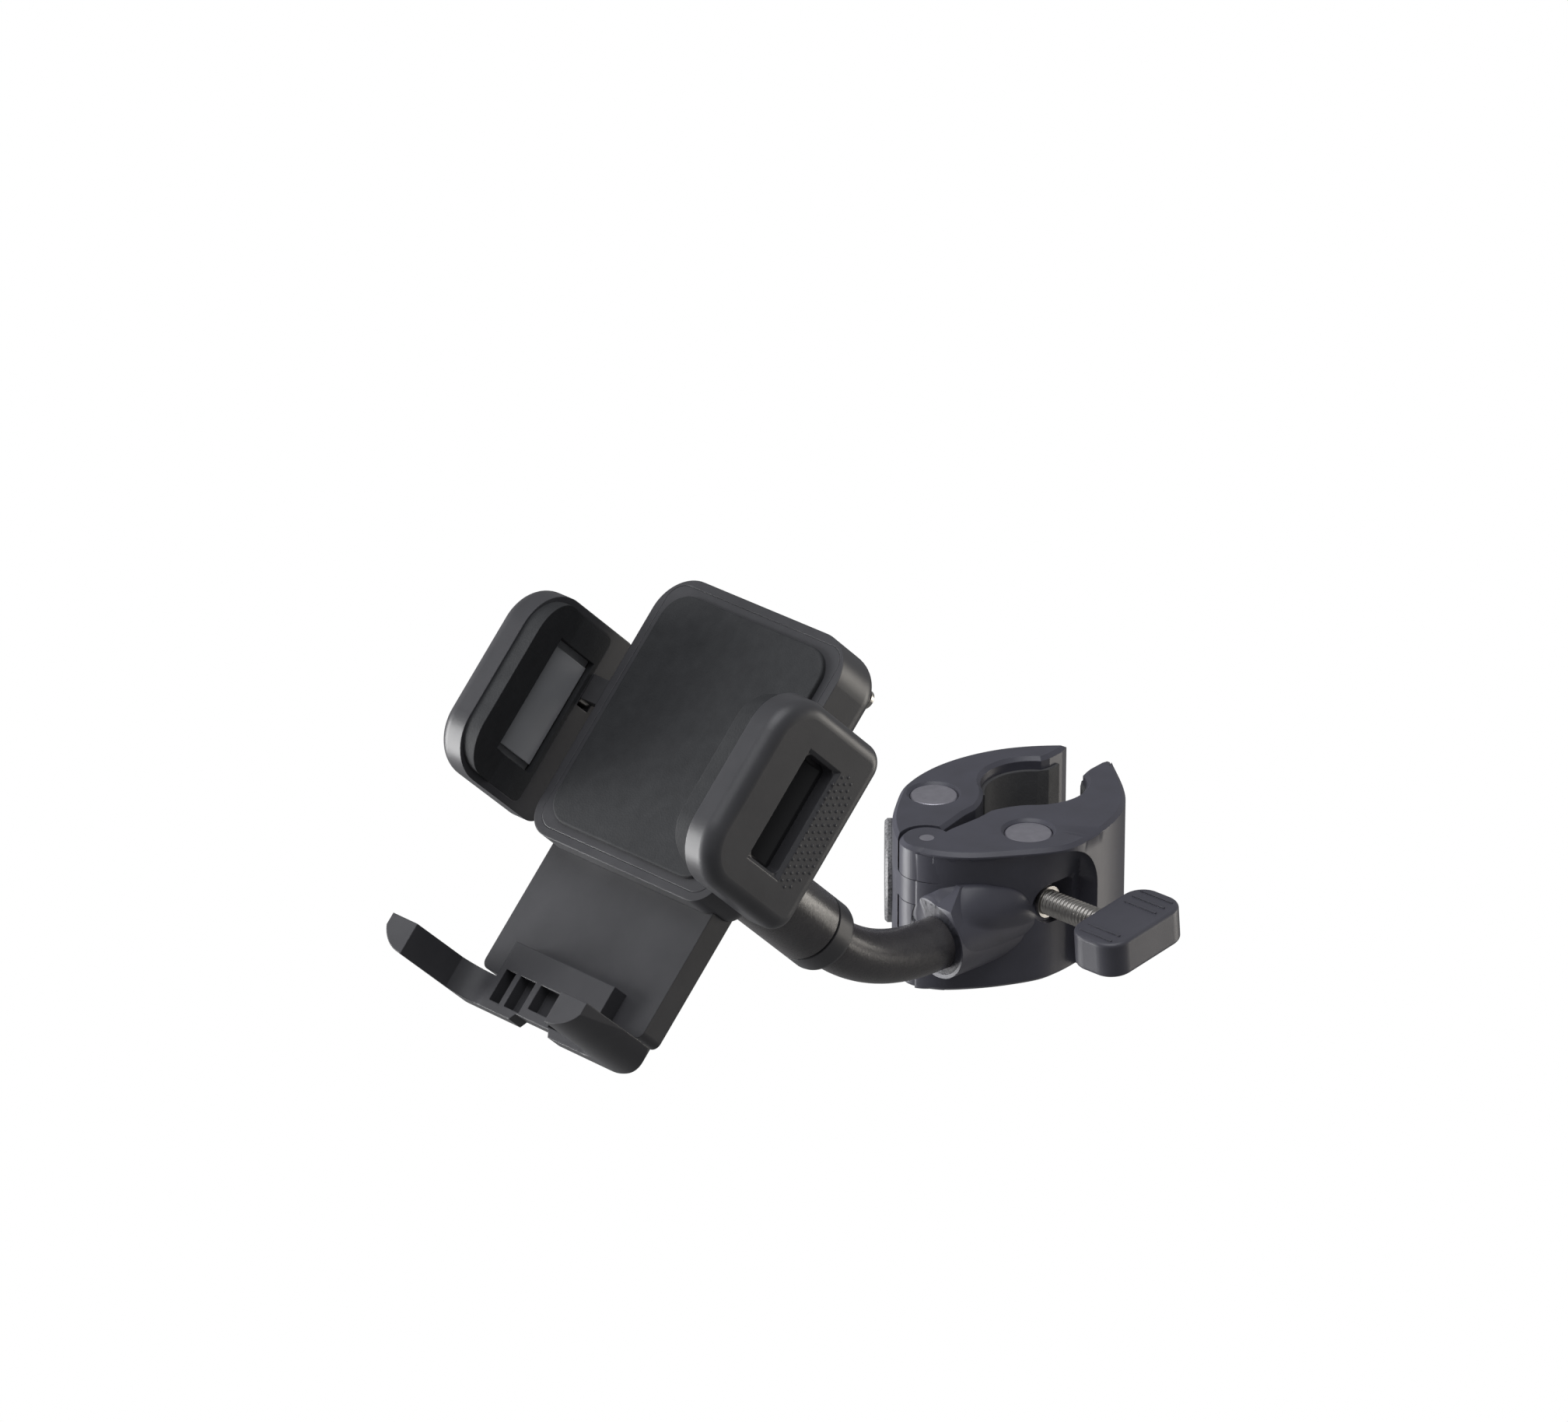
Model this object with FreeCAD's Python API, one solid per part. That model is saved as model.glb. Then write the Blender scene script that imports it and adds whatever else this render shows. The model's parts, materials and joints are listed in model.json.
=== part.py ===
import FreeCAD, Part
import math
import os

# Phone holder with a claw clamp for a round bar, an arm on a ball joint and a spring cradle.
# Millimetres and degrees. The origin is on the axis of the gripped bar, half way up the jaws.
# +Z is up along the bar, +X points from the hinge pin of the clamp towards its open mouth.

os.makedirs("parts", exist_ok=True)

# Clamp: driving sizes
bar_diameter = 22.2
lining_stand = 0.9
lining_depth = 1.1
lining_inset = 3.0
jaw_height = 34.7
jaw_chamfer = 0.9
hinge_offset = 38.5
mouth_half_gap = 5.4
lip_length = 9.6
knuckle_radius = 6.1
knuckle_gap = 0.3
leaf_gap = 0.1
seam_top = 9.35
seam_middle = 3.35
seam_bottom = -10.3
pin_radius = 1.7
pin_play = 0.05
barrel_radius = 5.4
barrel_play = 0.1
barrel_distance = 23.05
front_barrel_angle = -41.0
rear_barrel_angle = 34.8
front_barrel_recess = 0.6
rear_barrel_recess = 0.4
barrel_rim_break = 0.7
screw_radius = 2.95
screw_play = 0.05
screw_height = 1.6
screw_past_nut = 3.7
screw_slot_play = 0.65
screw_slot_length = 17.0
close_angle = 7.5
open_angle = 18.0
hood_thickness = 1.35
hood_arch_radius = 12.0
flange_start = 27.0
slot_height = 9.8
slot_reach_left = 4.9
slot_reach_right = 6.6
rear_boss_radius = 11.75
rear_boss_stand = 2.9
rear_boss_angle = 129.6
rear_boss_dish = 0.5
rear_boss_ring = 0.7
clip_radius = 3.7
clip_thickness = 0.8

# Knob on the clamp screw
knob_length = 25.5
knob_width = 14.4
knob_thickness = 8.6
knob_distance = 29.4
knob_turn = 5.5
knob_corner = 5.2
knob_edge = 0.9
knob_bore_depth = 11.0
knob_line_width = 0.5
knob_line_stand = 0.3

# Arm: boss on the front jaw, bent tube, sleeve and collar
boss_before_hinge = 6.54
boss_y = -8.29
boss_z = -3.65
arm_azimuth = -8.54
boss_radius = 8.5
boss_length = 30.0
boss_top = 12.9
boss_inner = 8.3
boss_shoulder_rise = 9.0
boss_shoulder_slope = 38.0
tube_radius = 6.1
tube_wall = 1.6
tube_in_boss = 10.0
tube_straight = 3.1
tube_bend_radius = 44.0
arm_fall = 44.12
tube_after_bend = 0.2
tube_in_sleeve = 13.0
collar_length = 6.4
collar_groove = 0.7
collar_end_radius = 7.0
sleeve_radius = 8.45
groove_radius = 7.7

# Ball joint, measured along the arm's upper axis from the glass plane of the phone
ball_radius = 8.5
ball_depth = 35.5
collar_end_depth = 79.2
ball_play = 0.03
cup_wall = 0.65
cup_play = 0.05
cap_wall = 0.65
cup_half_angle = 36.0
stem_radius = 4.4
shank_radius = 3.2
shank_length = 15.0
sleeve_start = 10.2
sleeve_cone_end = 12.6
sleeve_nose_radius = 5.4
socket_radius = 11.5
nut_radius = 13.25
nut_back = 5.5
nut_front_gap = 1.6
nut_lip = 2.7
nut_play = 0.05
lip_play = 0.08
nut_grooves = 12
nut_groove_radius = 1.1

# Cradle frame: the front centre of a held phone is its origin
cradle_roll = 1.6
neck_drop = 27.1
phone_width = 71.5
phone_height = 147.5
phone_thickness = 8.0

# Cradle housing
body_inset = 6.75
body_top = 22.0
body_bottom = -43.0
body_depth = 15.0
body_wall = 2.0
body_back_wall = 1.7
body_corner = 9.5
body_foot_corner = 6.5
body_rounding = 4.8
cover_thickness = 1.8
cushion_thickness = 1.2
cushion_gap = 0.3
cushion_inset = 4.0
cover_screw_radius = 1.3
cover_screw_head = 2.4
cover_screw_sink = 2.2
cover_screw_in = 4.0
cover_screw_down = 7.2
post_radius = 2.8
socket_short = 1.0

# Racks and pinion
gear_module = 1.0
gear_teeth = 10
gear_backlash = 0.5
rack_addendum = 0.5
rack_clearance = 0.3
rack_width = 6.0
rack_thickness = 4.0
rack_inner_end = 19.0
rack_in_arm = 3.5
layer_gap = 0.2
arm_in = 5.0
arm_out = 13.0
pinion_post_radius = 2.0
pinion_play = 0.06

# Side arms
arm_top = 4.5
arm_length = 45.0
arm_hook = 15.45
arm_behind_front = 11.0
arm_thickness = 7.6
arm_front_corner = 11.0
arm_back_corner = 5.0
arm_edge = 3.4
arm_side_gap = 0.05
pocket_inset = 1.7
pocket_depth = 1.7
pocket_past_window = 2.7
pad_front_inset = 0.45
pad_reach = 4.4
pad_slope_depth = 15.0
window_length = 25.2
window_width = 10.5
window_front = 2.2
window_below_top = 9.9
window_corner = 1.6
bar_flange = 1.8
bar_rise = 0.9
bar_thickness = 1.6
bar_play = 0.1
arm_screw_radius = 1.2
arm_screw_head = 2.2
arm_screw_sink = 3.0
arm_screw_in = 2.0
arm_screw_half_gap = 1.9

# Foot slide and foot
slide_inset = 3.5
slide_depth = 6.4
slide_top = -5.0
slide_above_foot = 1.1
slide_wall = 2.2
slide_rail = 3.0
slide_play = 0.3
foot_half_width = 32.3
foot_prong_inner = 23.2
foot_hook = 9.75
foot_gap = 0.85
foot_height = 7.4
foot_plate_rise = 8.6
foot_plate_front = -11.8
foot_plate_half = 15.8
foot_ridge = -7.5
foot_side_back = -10.8
foot_corner = 9.0
foot_back_corner = 5.0
foot_floor = 1.2
foot_notch_half = 6.1
foot_notch_depth = 1.6
foot_screw_radius = 1.5
foot_screw_head = 2.8
foot_screw_spread = 9.0
foot_screw_down = 3.2
foot_screw_bite = 2.4

# Release button on the back of the housing
button_radius = 5.5
button_height = 13.2
button_stand = 1.9
button_travel = 1.5
button_play = 0.3
button_stem_radius = 2.2
button_flange_radius = 6.5
button_flange = 1.2
tongue_thickness = 1.1
tongue_half_width = 2.0
shoe_gap = 0.3
spring_wire = 0.5
button_spring_turns = 3.0
button_spring_radius = 2.6
opening_spring_turns = 8.0
opening_spring_radius = 1.6
lug_place = 10.0
lug_width = 3.0
lug_height = 3.9

vector = FreeCAD.Vector
up = vector(0, 0, 1)


# General helpers

def cylinder(radius, start, direction, length):
    """Round bar from start along direction."""
    return Part.makeCylinder(radius, length, vector(*start), vector(*direction))


def box(low, high):
    """Block between two corners."""
    size = [b - a for a, b in zip(low, high)]
    return Part.makeBox(size[0], size[1], size[2], vector(*low))


def edges_along(shape, axis):
    """Straight edges that run along one axis, numbered 0, 1 or 2."""
    found = []
    for edge in shape.Edges:
        if len(edge.Vertexes) != 2:
            continue
        step = edge.Vertexes[1].Point - edge.Vertexes[0].Point
        if abs(abs(step[axis]) - step.Length) < 1e-6 and step.Length > 1e-6:
            found.append(edge)
    return found


def edges_at(shape, axis, value):
    """Edges that lie wholly in the plane where one coordinate has a value."""
    found = []
    for edge in shape.Edges:
        box_of_edge = edge.BoundBox
        low = (box_of_edge.XMin, box_of_edge.YMin, box_of_edge.ZMin)[axis]
        high = (box_of_edge.XMax, box_of_edge.YMax, box_of_edge.ZMax)[axis]
        if abs(low - value) < 1e-3 and abs(high - value) < 1e-3:
            found.append(edge)
    return found


def rounded_box(low, high, axis, radius):
    """Block whose four edges along one axis are rounded."""
    block = box(low, high)
    return block.makeFillet(radius, edges_along(block, axis))


def polygon_prism(points, offset):
    """Solid made by moving a flat polygon of 3-D points by an offset."""
    wire = Part.makePolygon([vector(*p) for p in points] + [vector(*points[0])])
    return Part.Face(wire).extrude(vector(*offset))


def polar(radius, angle, centre=(0.0, 0.0)):
    """Plan point at a distance and an angle from a centre."""
    turn = math.radians(angle)
    return (centre[0] + radius * math.cos(turn), centre[1] + radius * math.sin(turn))


def line(a, b):
    """Straight plan edge."""
    return Part.makeLine(vector(a[0], a[1], 0), vector(b[0], b[1], 0))


def arc(a, through, b):
    """Circular plan edge through three points."""
    points = [vector(p[0], p[1], 0) for p in (a, through, b)]
    return Part.Arc(points[0], points[1], points[2]).toShape()


def curve(points):
    """Smooth plan edge through a few points."""
    spline = Part.BSplineCurve()
    spline.interpolate([vector(p[0], p[1], 0) for p in points])
    return spline.toShape()


def plan_solid(edges, low, high):
    """Upright solid over a closed outline of plan edges."""
    wire = Part.Wire(Part.__sortEdges__(edges))
    face = Part.Face(wire)
    face.translate(vector(0, 0, low))
    return face.extrude(vector(0, 0, high - low))


def mirror_y(points):
    """Plan points of the front jaw from those of the rear jaw."""
    return [(x, -y) for x, y in points]


def write(name, shape):
    """Check a sub-part and write it to its file."""
    shape = shape.removeSplitter()
    if not shape.isValid():
        print("not valid:", name)
    print(name, len(shape.Solids), round(shape.Volume, 1))
    shape.exportStep("parts/" + name + ".step")


# Sizes worked out from the driving ones

outline_hinge_offset = 38.5
outline_scale = hinge_offset / outline_hinge_offset
half_height = jaw_height / 2
bar_radius = bar_diameter / 2
throat_radius = bar_radius + lining_stand
pivot = (-hinge_offset, 0.0)
boss_x = -hinge_offset - boss_before_hinge
front_barrel = polar(barrel_distance, front_barrel_angle, pivot)
rear_barrel = polar(barrel_distance, rear_barrel_angle, pivot)
screw_span = math.dist(front_barrel, rear_barrel)
screw_way = ((front_barrel[0] - rear_barrel[0]) / screw_span,
             (front_barrel[1] - rear_barrel[1]) / screw_span, 0.0)
screw_angle = math.degrees(math.atan2(screw_way[1], screw_way[0]))
rest_angle = rear_barrel_angle - front_barrel_angle
half_chord = math.sin(math.radians(rest_angle / 2))
closed_half_chord = math.sin(math.radians((rest_angle - close_angle) / 2))
closing_travel = 2 * barrel_distance * (half_chord - closed_half_chord)
throat_start = 140.7
throat_end = 30.0
knuckle_mouth = 0.6

body_half_width = phone_width / 2 - body_inset
body_front = -phone_thickness - cushion_gap - cushion_thickness
body_back = body_front - body_depth
slide_half_width = body_half_width - slide_inset
slide_back = body_back + body_back_wall + 0.1
slide_front = slide_back + slide_depth
foot_top = -phone_height / 2 - foot_gap
foot_bottom = foot_top - foot_height
foot_plate_top = foot_top + foot_plate_rise
slide_bottom = foot_top + slide_above_foot
arm_inner = phone_width / 2 + arm_side_gap
arm_outer = arm_inner + arm_thickness
arm_back = body_front - arm_behind_front
bar_face = arm_inner + bar_rise
rack_outer_end = arm_inner + rack_in_arm


# Claw clamp: two mirrored jaws on one hinge pin

def from_hinge(points):
    """Plan points of an outline drawn from the hinge's axis, which keeps its form when the hinge moves."""
    return [(pivot[0] + x * outline_scale, y * outline_scale) for x, y in points]


def jaw_tip():
    """Plan point of a jaw's tip, for the rear jaw."""
    return polar(throat_radius, throat_end)[0] + lip_length, mouth_half_gap + 0.8


def jaw_inner_edges(side):
    """Inner outline of a jaw: hinge web, throat and lip, from the hinge to the tip."""
    web = from_hinge([(0.0, knuckle_mouth), (7.1, knuckle_mouth), (15.3, 1.7), (19.6, 1.7)])
    start = polar(throat_radius, throat_start)
    end = polar(throat_radius, throat_end)
    tip = jaw_tip()
    lip = [end, (end[0] + 2.4, mouth_half_gap), (tip[0] - 2.6, mouth_half_gap), tip]
    neck = [web[3]] + from_hinge([(25.5, 4.3)]) + [start]
    middle = polar(throat_radius, 90.0)
    parts = [(web, "lines"), (neck, "curve"), ([start, middle, end], "arc"), (lip, "lines")]
    edges = []
    for points, kind in parts:
        if side < 0:
            points = mirror_y(points)
        if kind == "lines":
            edges += [line(a, b) for a, b in zip(points, points[1:])]
        elif kind == "curve":
            edges.append(curve(points))
        else:
            edges.append(arc(*points))
    return edges


def jaw_back_points():
    """Outer wall of a jaw from its tip to the knuckle, for the rear jaw."""
    tip = jaw_tip()
    wall = [(54.6, 10.6), (47.2, 16.6), (39.6, 20.2), (31.8, 22.1), (24.2, 22.3), (18.9, 21.4), (11.3, 17.7),
            (5.0, 13.8), (1.2, 10.7)]
    return [tip] + from_hinge(wall) + [polar(knuckle_radius, 150.0, pivot)]


def jaw_blank(side):
    """Jaw outline at full height, with both rims chamfered."""
    back = jaw_back_points()
    if side < 0:
        back = mirror_y(back)
    start = from_hinge([(0.0, knuckle_mouth * side)])[0]
    edges = jaw_inner_edges(side) + [curve(back), line(back[-1], start)]
    blank = plan_solid(edges, -half_height, half_height)
    rims = edges_at(blank, 2, half_height) + edges_at(blank, 2, -half_height)
    return blank.makeChamfer(jaw_chamfer, rims)


def knuckle(low, high, radius=knuckle_radius):
    """Upright round leaf about the hinge pin."""
    return cylinder(radius, (pivot[0], pivot[1], low), up, high - low)


def rimmed_knuckle(low, high, top):
    """Round leaf whose outer end rim is chamfered."""
    leaf = knuckle(low, high)
    return leaf.makeChamfer(jaw_chamfer, edges_at(leaf, 2, high if top else low))


def lining(side):
    """Rubber lining of one throat, proud of the metal, with a flat strip along the lip."""
    low = -half_height + lining_inset
    outer = throat_radius + lining_depth
    lip_y = mouth_half_gap - 0.7
    first = polar(bar_radius, 137.0)
    last = polar(bar_radius, 34.0)
    back_first = polar(outer, 137.0)
    back_last = polar(outer, 32.0)
    lip_start = last[0] + 2.4
    lip_end = back_last[0] + 4.4
    lip = [last, (lip_start, lip_y), (lip_end, lip_y), (lip_end, back_last[1]), back_last]
    inner = [first, polar(bar_radius, 90.0), last]
    back = [back_last, polar(outer, 90.0), back_first]
    end = [back_first, first]
    if side < 0:
        lip, inner, back, end = (mirror_y(p) for p in (lip, inner, back, end))
    edges = [arc(*inner), arc(*back)]
    edges += [line(a, b) for a, b in zip(lip, lip[1:])] + [line(*end)]
    return plan_solid(edges, low, -low)


def hinge_bore():
    """Hole for the hinge pin with its running play."""
    return knuckle(-half_height - 1, half_height + 1, pin_radius + pin_play)


def barrel_hole(centre):
    """Upright hole for a cross barrel, its rims broken."""
    radius = barrel_radius + barrel_play
    hole = cylinder(radius, (centre[0], centre[1], -half_height - 1), up, jaw_height + 2)
    depth = barrel_rim_break
    rim = Part.makeCone(radius, radius + depth, depth, vector(centre[0], centre[1], half_height - depth), up)
    return hole.fuse(rim)


def swing_slot(centre, angle, length, swings, half_width, half_tall):
    """Wedge cut through which the screw swings about a barrel."""
    points = [centre]
    for swing, shift in zip(swings, (-half_width, half_width)):
        turn = math.radians(angle + swing)
        side = (-math.sin(turn) * shift, math.cos(turn) * shift)
        start = (centre[0] + side[0], centre[1] + side[1])
        end = (start[0] + math.cos(turn) * length, start[1] + math.sin(turn) * length)
        points += [start, end] if shift < 0 else [end, start]
    low = screw_height - half_tall
    return polygon_prism([(x, y, low) for x, y in points], (0, 0, 2 * half_tall))


def rear_jaw():
    """Rear jaw: hinge leaves in the middle and at the foot, low round boss, blind screw pocket."""
    body = jaw_blank(1)
    clear = knuckle_radius + knuckle_gap
    body = body.cut(knuckle(seam_top - leaf_gap / 2, half_height + 1, clear))
    body = body.cut(knuckle(seam_bottom - leaf_gap / 2, seam_middle + leaf_gap / 2, clear))
    body = body.fuse(knuckle(seam_middle + leaf_gap / 2, seam_top - leaf_gap / 2))
    body = body.fuse(rimmed_knuckle(-half_height, seam_bottom - leaf_gap / 2, False))
    out = (math.cos(math.radians(rear_boss_angle)), math.sin(math.radians(rear_boss_angle)), 0)
    wall = from_hinge([(10.7, 16.9)])[0]
    depth = 5.0
    start = (wall[0] - out[0] * depth, wall[1] - out[1] * depth, 0)
    boss = cylinder(rear_boss_radius, start, out, depth + rear_boss_stand)
    far_rim = [e for e in boss.Edges if e.BoundBox.Center.distanceToPoint(vector(*start)) > depth]
    boss = boss.makeChamfer(0.6, far_rim)
    ring = cylinder(rear_boss_radius - 1.6, start, out, depth + rear_boss_stand)
    ring = ring.cut(cylinder(rear_boss_radius - 1.6 - rear_boss_ring, start, out, depth + rear_boss_stand))
    ring.translate(vector(out[0], out[1], 0) * (depth + rear_boss_stand - rear_boss_dish))
    body = body.fuse(boss).cut(ring)
    half = screw_radius + screw_slot_play
    back_angle = screw_angle + 180.0
    pocket_length = screw_past_nut + closing_travel + 0.7
    swings = (-open_angle / 2, close_angle / 2)
    pocket = swing_slot(rear_barrel, back_angle, pocket_length, swings, half, half)
    inward = swing_slot(rear_barrel, screw_angle, screw_slot_length, swings, half, half)
    body = body.cut(barrel_hole(rear_barrel)).cut(pocket).cut(inward)
    return body.cut(lining(1)).cut(hinge_bore())


def hood_points():
    """Top outline of the front jaw, wider than its foot, from the knuckle to the tip."""
    wall = [(-3.9, -7.7), (0.6, -14.1), (6.0, -19.1), (11.5, -23.7), (17.5, -27.2), (24.0, -27.6),
            (30.4, -27.0), (36.4, -25.6), (42.2, -23.1), (47.8, -18.8), (53.6, -12.6)]
    tip = (jaw_tip()[0] + 0.2, -jaw_tip()[1] - 0.4)
    start = polar(knuckle_radius, -155.0, pivot)
    return [start] + from_hinge(wall) + [tip]


def hood():
    """Overhanging top of the front jaw and the flange at its mouth end, with an arched niche below."""
    outer = hood_points()
    inner = [(50.0, -12.0), (40.0, -18.0), (27.0, -14.0), (12.0, -9.0)]
    inner = [outer[-1]] + from_hinge(inner) + [outer[0]]
    edges = [curve(outer)] + [line(a, b) for a, b in zip(inner, inner[1:])]
    block = plan_solid(edges, -half_height, half_height)
    ends = edges_at(block, 2, half_height) + edges_at(block, 2, -half_height)
    longest = max(edge.Length for edge in ends)
    rims = [edge for edge in ends if edge.Length > 0.9 * longest]
    block = block.makeChamfer(jaw_chamfer, rims)
    top = half_height - hood_thickness
    left = pivot[0] - 20.0
    right = from_hinge([(flange_start, 0.0)])[0][0]
    centre_z = top - hood_arch_radius
    bend = math.sqrt(0.5) * hood_arch_radius
    deep = -2 * hinge_offset
    corner = vector(right - hood_arch_radius + bend, deep, centre_z + bend)
    arch_start = vector(right, deep, centre_z)
    arch_end = vector(right - hood_arch_radius, deep, top)
    rim = [vector(left, deep, top), vector(left, deep, -half_height - 1),
           vector(right, deep, -half_height - 1)]
    wire = [Part.makeLine(arch_end, rim[0]), Part.makeLine(rim[0], rim[1]), Part.makeLine(rim[1], rim[2]),
            Part.makeLine(rim[2], arch_start), Part.Arc(arch_start, corner, arch_end).toShape()]
    niche = Part.Face(Part.Wire(wire)).extrude(vector(0, -deep, 0))
    return block.cut(niche)


def cove():
    """Concave sweep of the front wall from the foot outline out to the hood."""
    foot = [(-4.6, -5.2), (-3.0, -8.2), (2.4, -13.5), (8.1, -17.7), (14.5, -21.2), (20.0, -22.3),
            (31.0, -22.2)]
    top = [(-4.7, -5.6), (-3.1, -8.6), (1.3, -14.3), (6.8, -19.1), (12.4, -23.2), (18.0, -26.4),
           (31.0, -26.3)]
    levels = ((2.0, 0.0), (7.5, 0.12), (12.5, 0.45), (half_height - 0.6 * hood_thickness, 1.0))
    sections = []
    for height, share in levels:
        ring = [(a[0] + (b[0] - a[0]) * share, a[1] + (b[1] - a[1]) * share) for a, b in zip(foot, top)]
        ring = from_hinge(ring)
        back = [ring[-1]] + from_hinge([(31.0, -14.0), (12.0, -8.0)]) + [ring[0]]
        edges = [curve(ring)] + [line(a, b) for a, b in zip(back, back[1:])]
        wire = Part.Wire(edges)
        wire.translate(vector(0, 0, height))
        sections.append(wire)
    return Part.makeLoft(sections, True, False)


def boss_point(along, across, height):
    """Point of the arm boss frame: along its axis, out of the jaw's wall, and above the axis."""
    turn = math.radians(arm_azimuth)
    way = (math.cos(turn), math.sin(turn))
    out = (math.sin(turn), -math.cos(turn))
    return (boss_x + way[0] * along + out[0] * across, boss_y + way[1] * along + out[1] * across,
            boss_z + height)


def boss_way():
    """Direction of the arm boss, from its end face into the jaw."""
    turn = math.radians(arm_azimuth)
    return (math.cos(turn), math.sin(turn), 0.0)


def arm_boss():
    """D-shaped boss for the arm: round outside, with a flat flank that climbs to the wall."""
    start = boss_point(0, 0, 0)
    way = vector(*boss_way())
    round_part = cylinder(boss_radius, start, way, boss_length)
    touch = math.radians(30.0)
    flank = [(-boss_inner, -boss_radius * 0.9), (-boss_inner, boss_top), (2.2, boss_top),
             (boss_radius * math.cos(touch), boss_radius * math.sin(touch)), (0.0, -boss_radius * 0.9)]
    block = polygon_prism([boss_point(0, w, h) for w, h in flank], tuple(way * boss_length))
    rise = boss_shoulder_rise
    reach = (boss_top + 2 - rise) / math.tan(math.radians(boss_shoulder_slope))
    shoulder = [boss_point(-1, -20, rise), boss_point(0, -20, rise), boss_point(reach, -20, boss_top + 2),
                boss_point(-1, -20, boss_top + 2)]
    out = vector(*boss_point(0, 1, 0)) - vector(*boss_point(0, 0, 0))
    shoulder = polygon_prism(shoulder, tuple(out * 40))
    body = round_part.fuse(block).cut(shoulder)
    corners = boss_limit()
    sides = [line(a, b) for a, b in zip(corners, corners[1:] + corners[:1])]
    return body.common(plan_solid(sides, -half_height, half_height - 1.5))


def boss_limit():
    """Plan area that holds the arm boss, short of the throat and the screw."""
    return from_hinge([(-20.0, 0.0), (2.0, -0.8), (12.0, -2.5), (24.0, -12.0), (24.0, -40.0), (-20.0, -40.0)])


def screw_window():
    """Long rounded opening in the niche through which the screw leaves the front jaw."""
    half = slot_height / 2
    x0 = front_barrel[0] - slot_reach_left
    x1 = front_barrel[0] + slot_reach_right
    low = (x0, -2 * hinge_offset, screw_height - half)
    high = (x1, front_barrel[1] - 2.5, screw_height + half)
    block = box(low, high)
    ends = [e for e in edges_along(block, 1) if e.Vertexes[0].Point.x < x0 + 1]
    block = block.makeFillet(half * 0.97, ends)
    ends = [e for e in edges_along(block, 1) if e.BoundBox.XMin > x1 - 1]
    return block.makeFillet(2.0, ends)


def front_jaw():
    """Front jaw: hooded claw with the top and middle hinge leaves and the boss for the arm."""
    body = jaw_blank(-1)
    body = body.fuse(cove())
    body = body.fuse(hood())
    body = body.fuse(rimmed_knuckle(seam_top + leaf_gap / 2, half_height, True))
    body = body.fuse(arm_boss())
    clear = knuckle_radius + knuckle_gap
    body = body.cut(knuckle(seam_middle - leaf_gap / 2, seam_top + leaf_gap / 2, clear))
    body = body.cut(knuckle(-half_height - 1, seam_bottom + leaf_gap / 2, clear))
    body = body.fuse(knuckle(seam_bottom + leaf_gap / 2, seam_middle - leaf_gap / 2))
    half = screw_radius + screw_slot_play
    swings = (-close_angle / 2, open_angle / 2)
    inward = swing_slot(front_barrel, screw_angle + 180.0, screw_slot_length, swings, half, half)
    clip_half = clip_radius + 0.6
    clip = swing_slot(front_barrel, screw_angle + 180.0, barrel_radius + clip_thickness + 1.0, swings,
                      clip_half, clip_half)
    body = body.cut(barrel_hole(front_barrel)).cut(inward).cut(clip).cut(screw_window())
    socket = cylinder(tube_radius, boss_point(-1, 0, 0), boss_way(), tube_in_boss + 1)
    body = body.cut(socket)
    return body.cut(lining(-1)).cut(knuckle(-half_height - 1, half_height + 1, pin_radius))


def cross_barrel(centre, recess):
    """Cross barrel with a plain hole for the screw."""
    end = half_height - recess
    body = cylinder(barrel_radius, (centre[0], centre[1], -end), up, 2 * end)
    body = body.makeChamfer(0.3, edges_at(body, 2, -end) + edges_at(body, 2, end))
    start = (centre[0] - screw_way[0] * 10, centre[1] - screw_way[1] * 10, screw_height)
    return body.cut(cylinder(screw_radius + screw_play, start, screw_way, 20))


def along_screw(distance, height=0.0):
    """Point on the screw's axis, measured from the front barrel out towards the knob."""
    return (front_barrel[0] + screw_way[0] * distance, front_barrel[1] + screw_way[1] * distance,
            screw_height + height)


def clamp_screw():
    """Long screw from beyond the rear barrel into the knob."""
    start = -screw_span - screw_past_nut
    end = knob_distance - knob_width / 2 + knob_bore_depth
    body = cylinder(screw_radius, along_screw(start), screw_way, end - start)
    tip = [e for e in body.Edges if e.BoundBox.Center.distanceToPoint(vector(*along_screw(start))) < 1]
    return body.makeChamfer(0.5, tip)


def screw_clips():
    """Two spring clips that keep the screw from sliding in the front barrel."""
    clips = []
    for side in (-1, 1):
        near = side * (barrel_radius + 0.15)
        start = min(near, near + side * clip_thickness)
        ring = cylinder(clip_radius, along_screw(start), screw_way, clip_thickness)
        clips.append(ring.cut(cylinder(screw_radius, along_screw(start - 1), screw_way, clip_thickness + 2)))
    return Part.makeCompound(clips)


def knob():
    """Oblong wing knob with raised grip lines at both ends, turned a little about the screw."""
    half = (knob_length / 2, knob_width / 2, knob_thickness / 2)
    body = rounded_box([-h for h in half], half, 2, knob_corner)
    rims = edges_at(body, 2, half[2]) + edges_at(body, 2, -half[2])
    body = body.makeFillet(knob_edge, rims)
    reach = half[1] - 2.6
    for x in (-half[0] + 2.4, -half[0] + 5.2, half[0] - 8.0, half[0] - 5.2, half[0] - 2.4):
        for face in (-1, 1):
            base = face * half[2] - knob_line_stand
            low = (x - knob_line_width / 2, -reach, base)
            ridge = box(low, (x + knob_line_width / 2, reach, base + 2 * knob_line_stand))
            body = body.fuse(ridge)
    bore = cylinder(screw_radius, (0, half[1] + 1, 0), (0, -1, 0), knob_bore_depth + 1)
    body = body.cut(bore)
    body.rotate(vector(0, 0, 0), vector(0, 1, 0), -knob_turn)
    body.rotate(vector(0, 0, 0), up, screw_angle + 90.0)
    body.translate(vector(*along_screw(knob_distance)))
    return body


# Arm: bent tube from the boss up to the collar and sleeve

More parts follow.
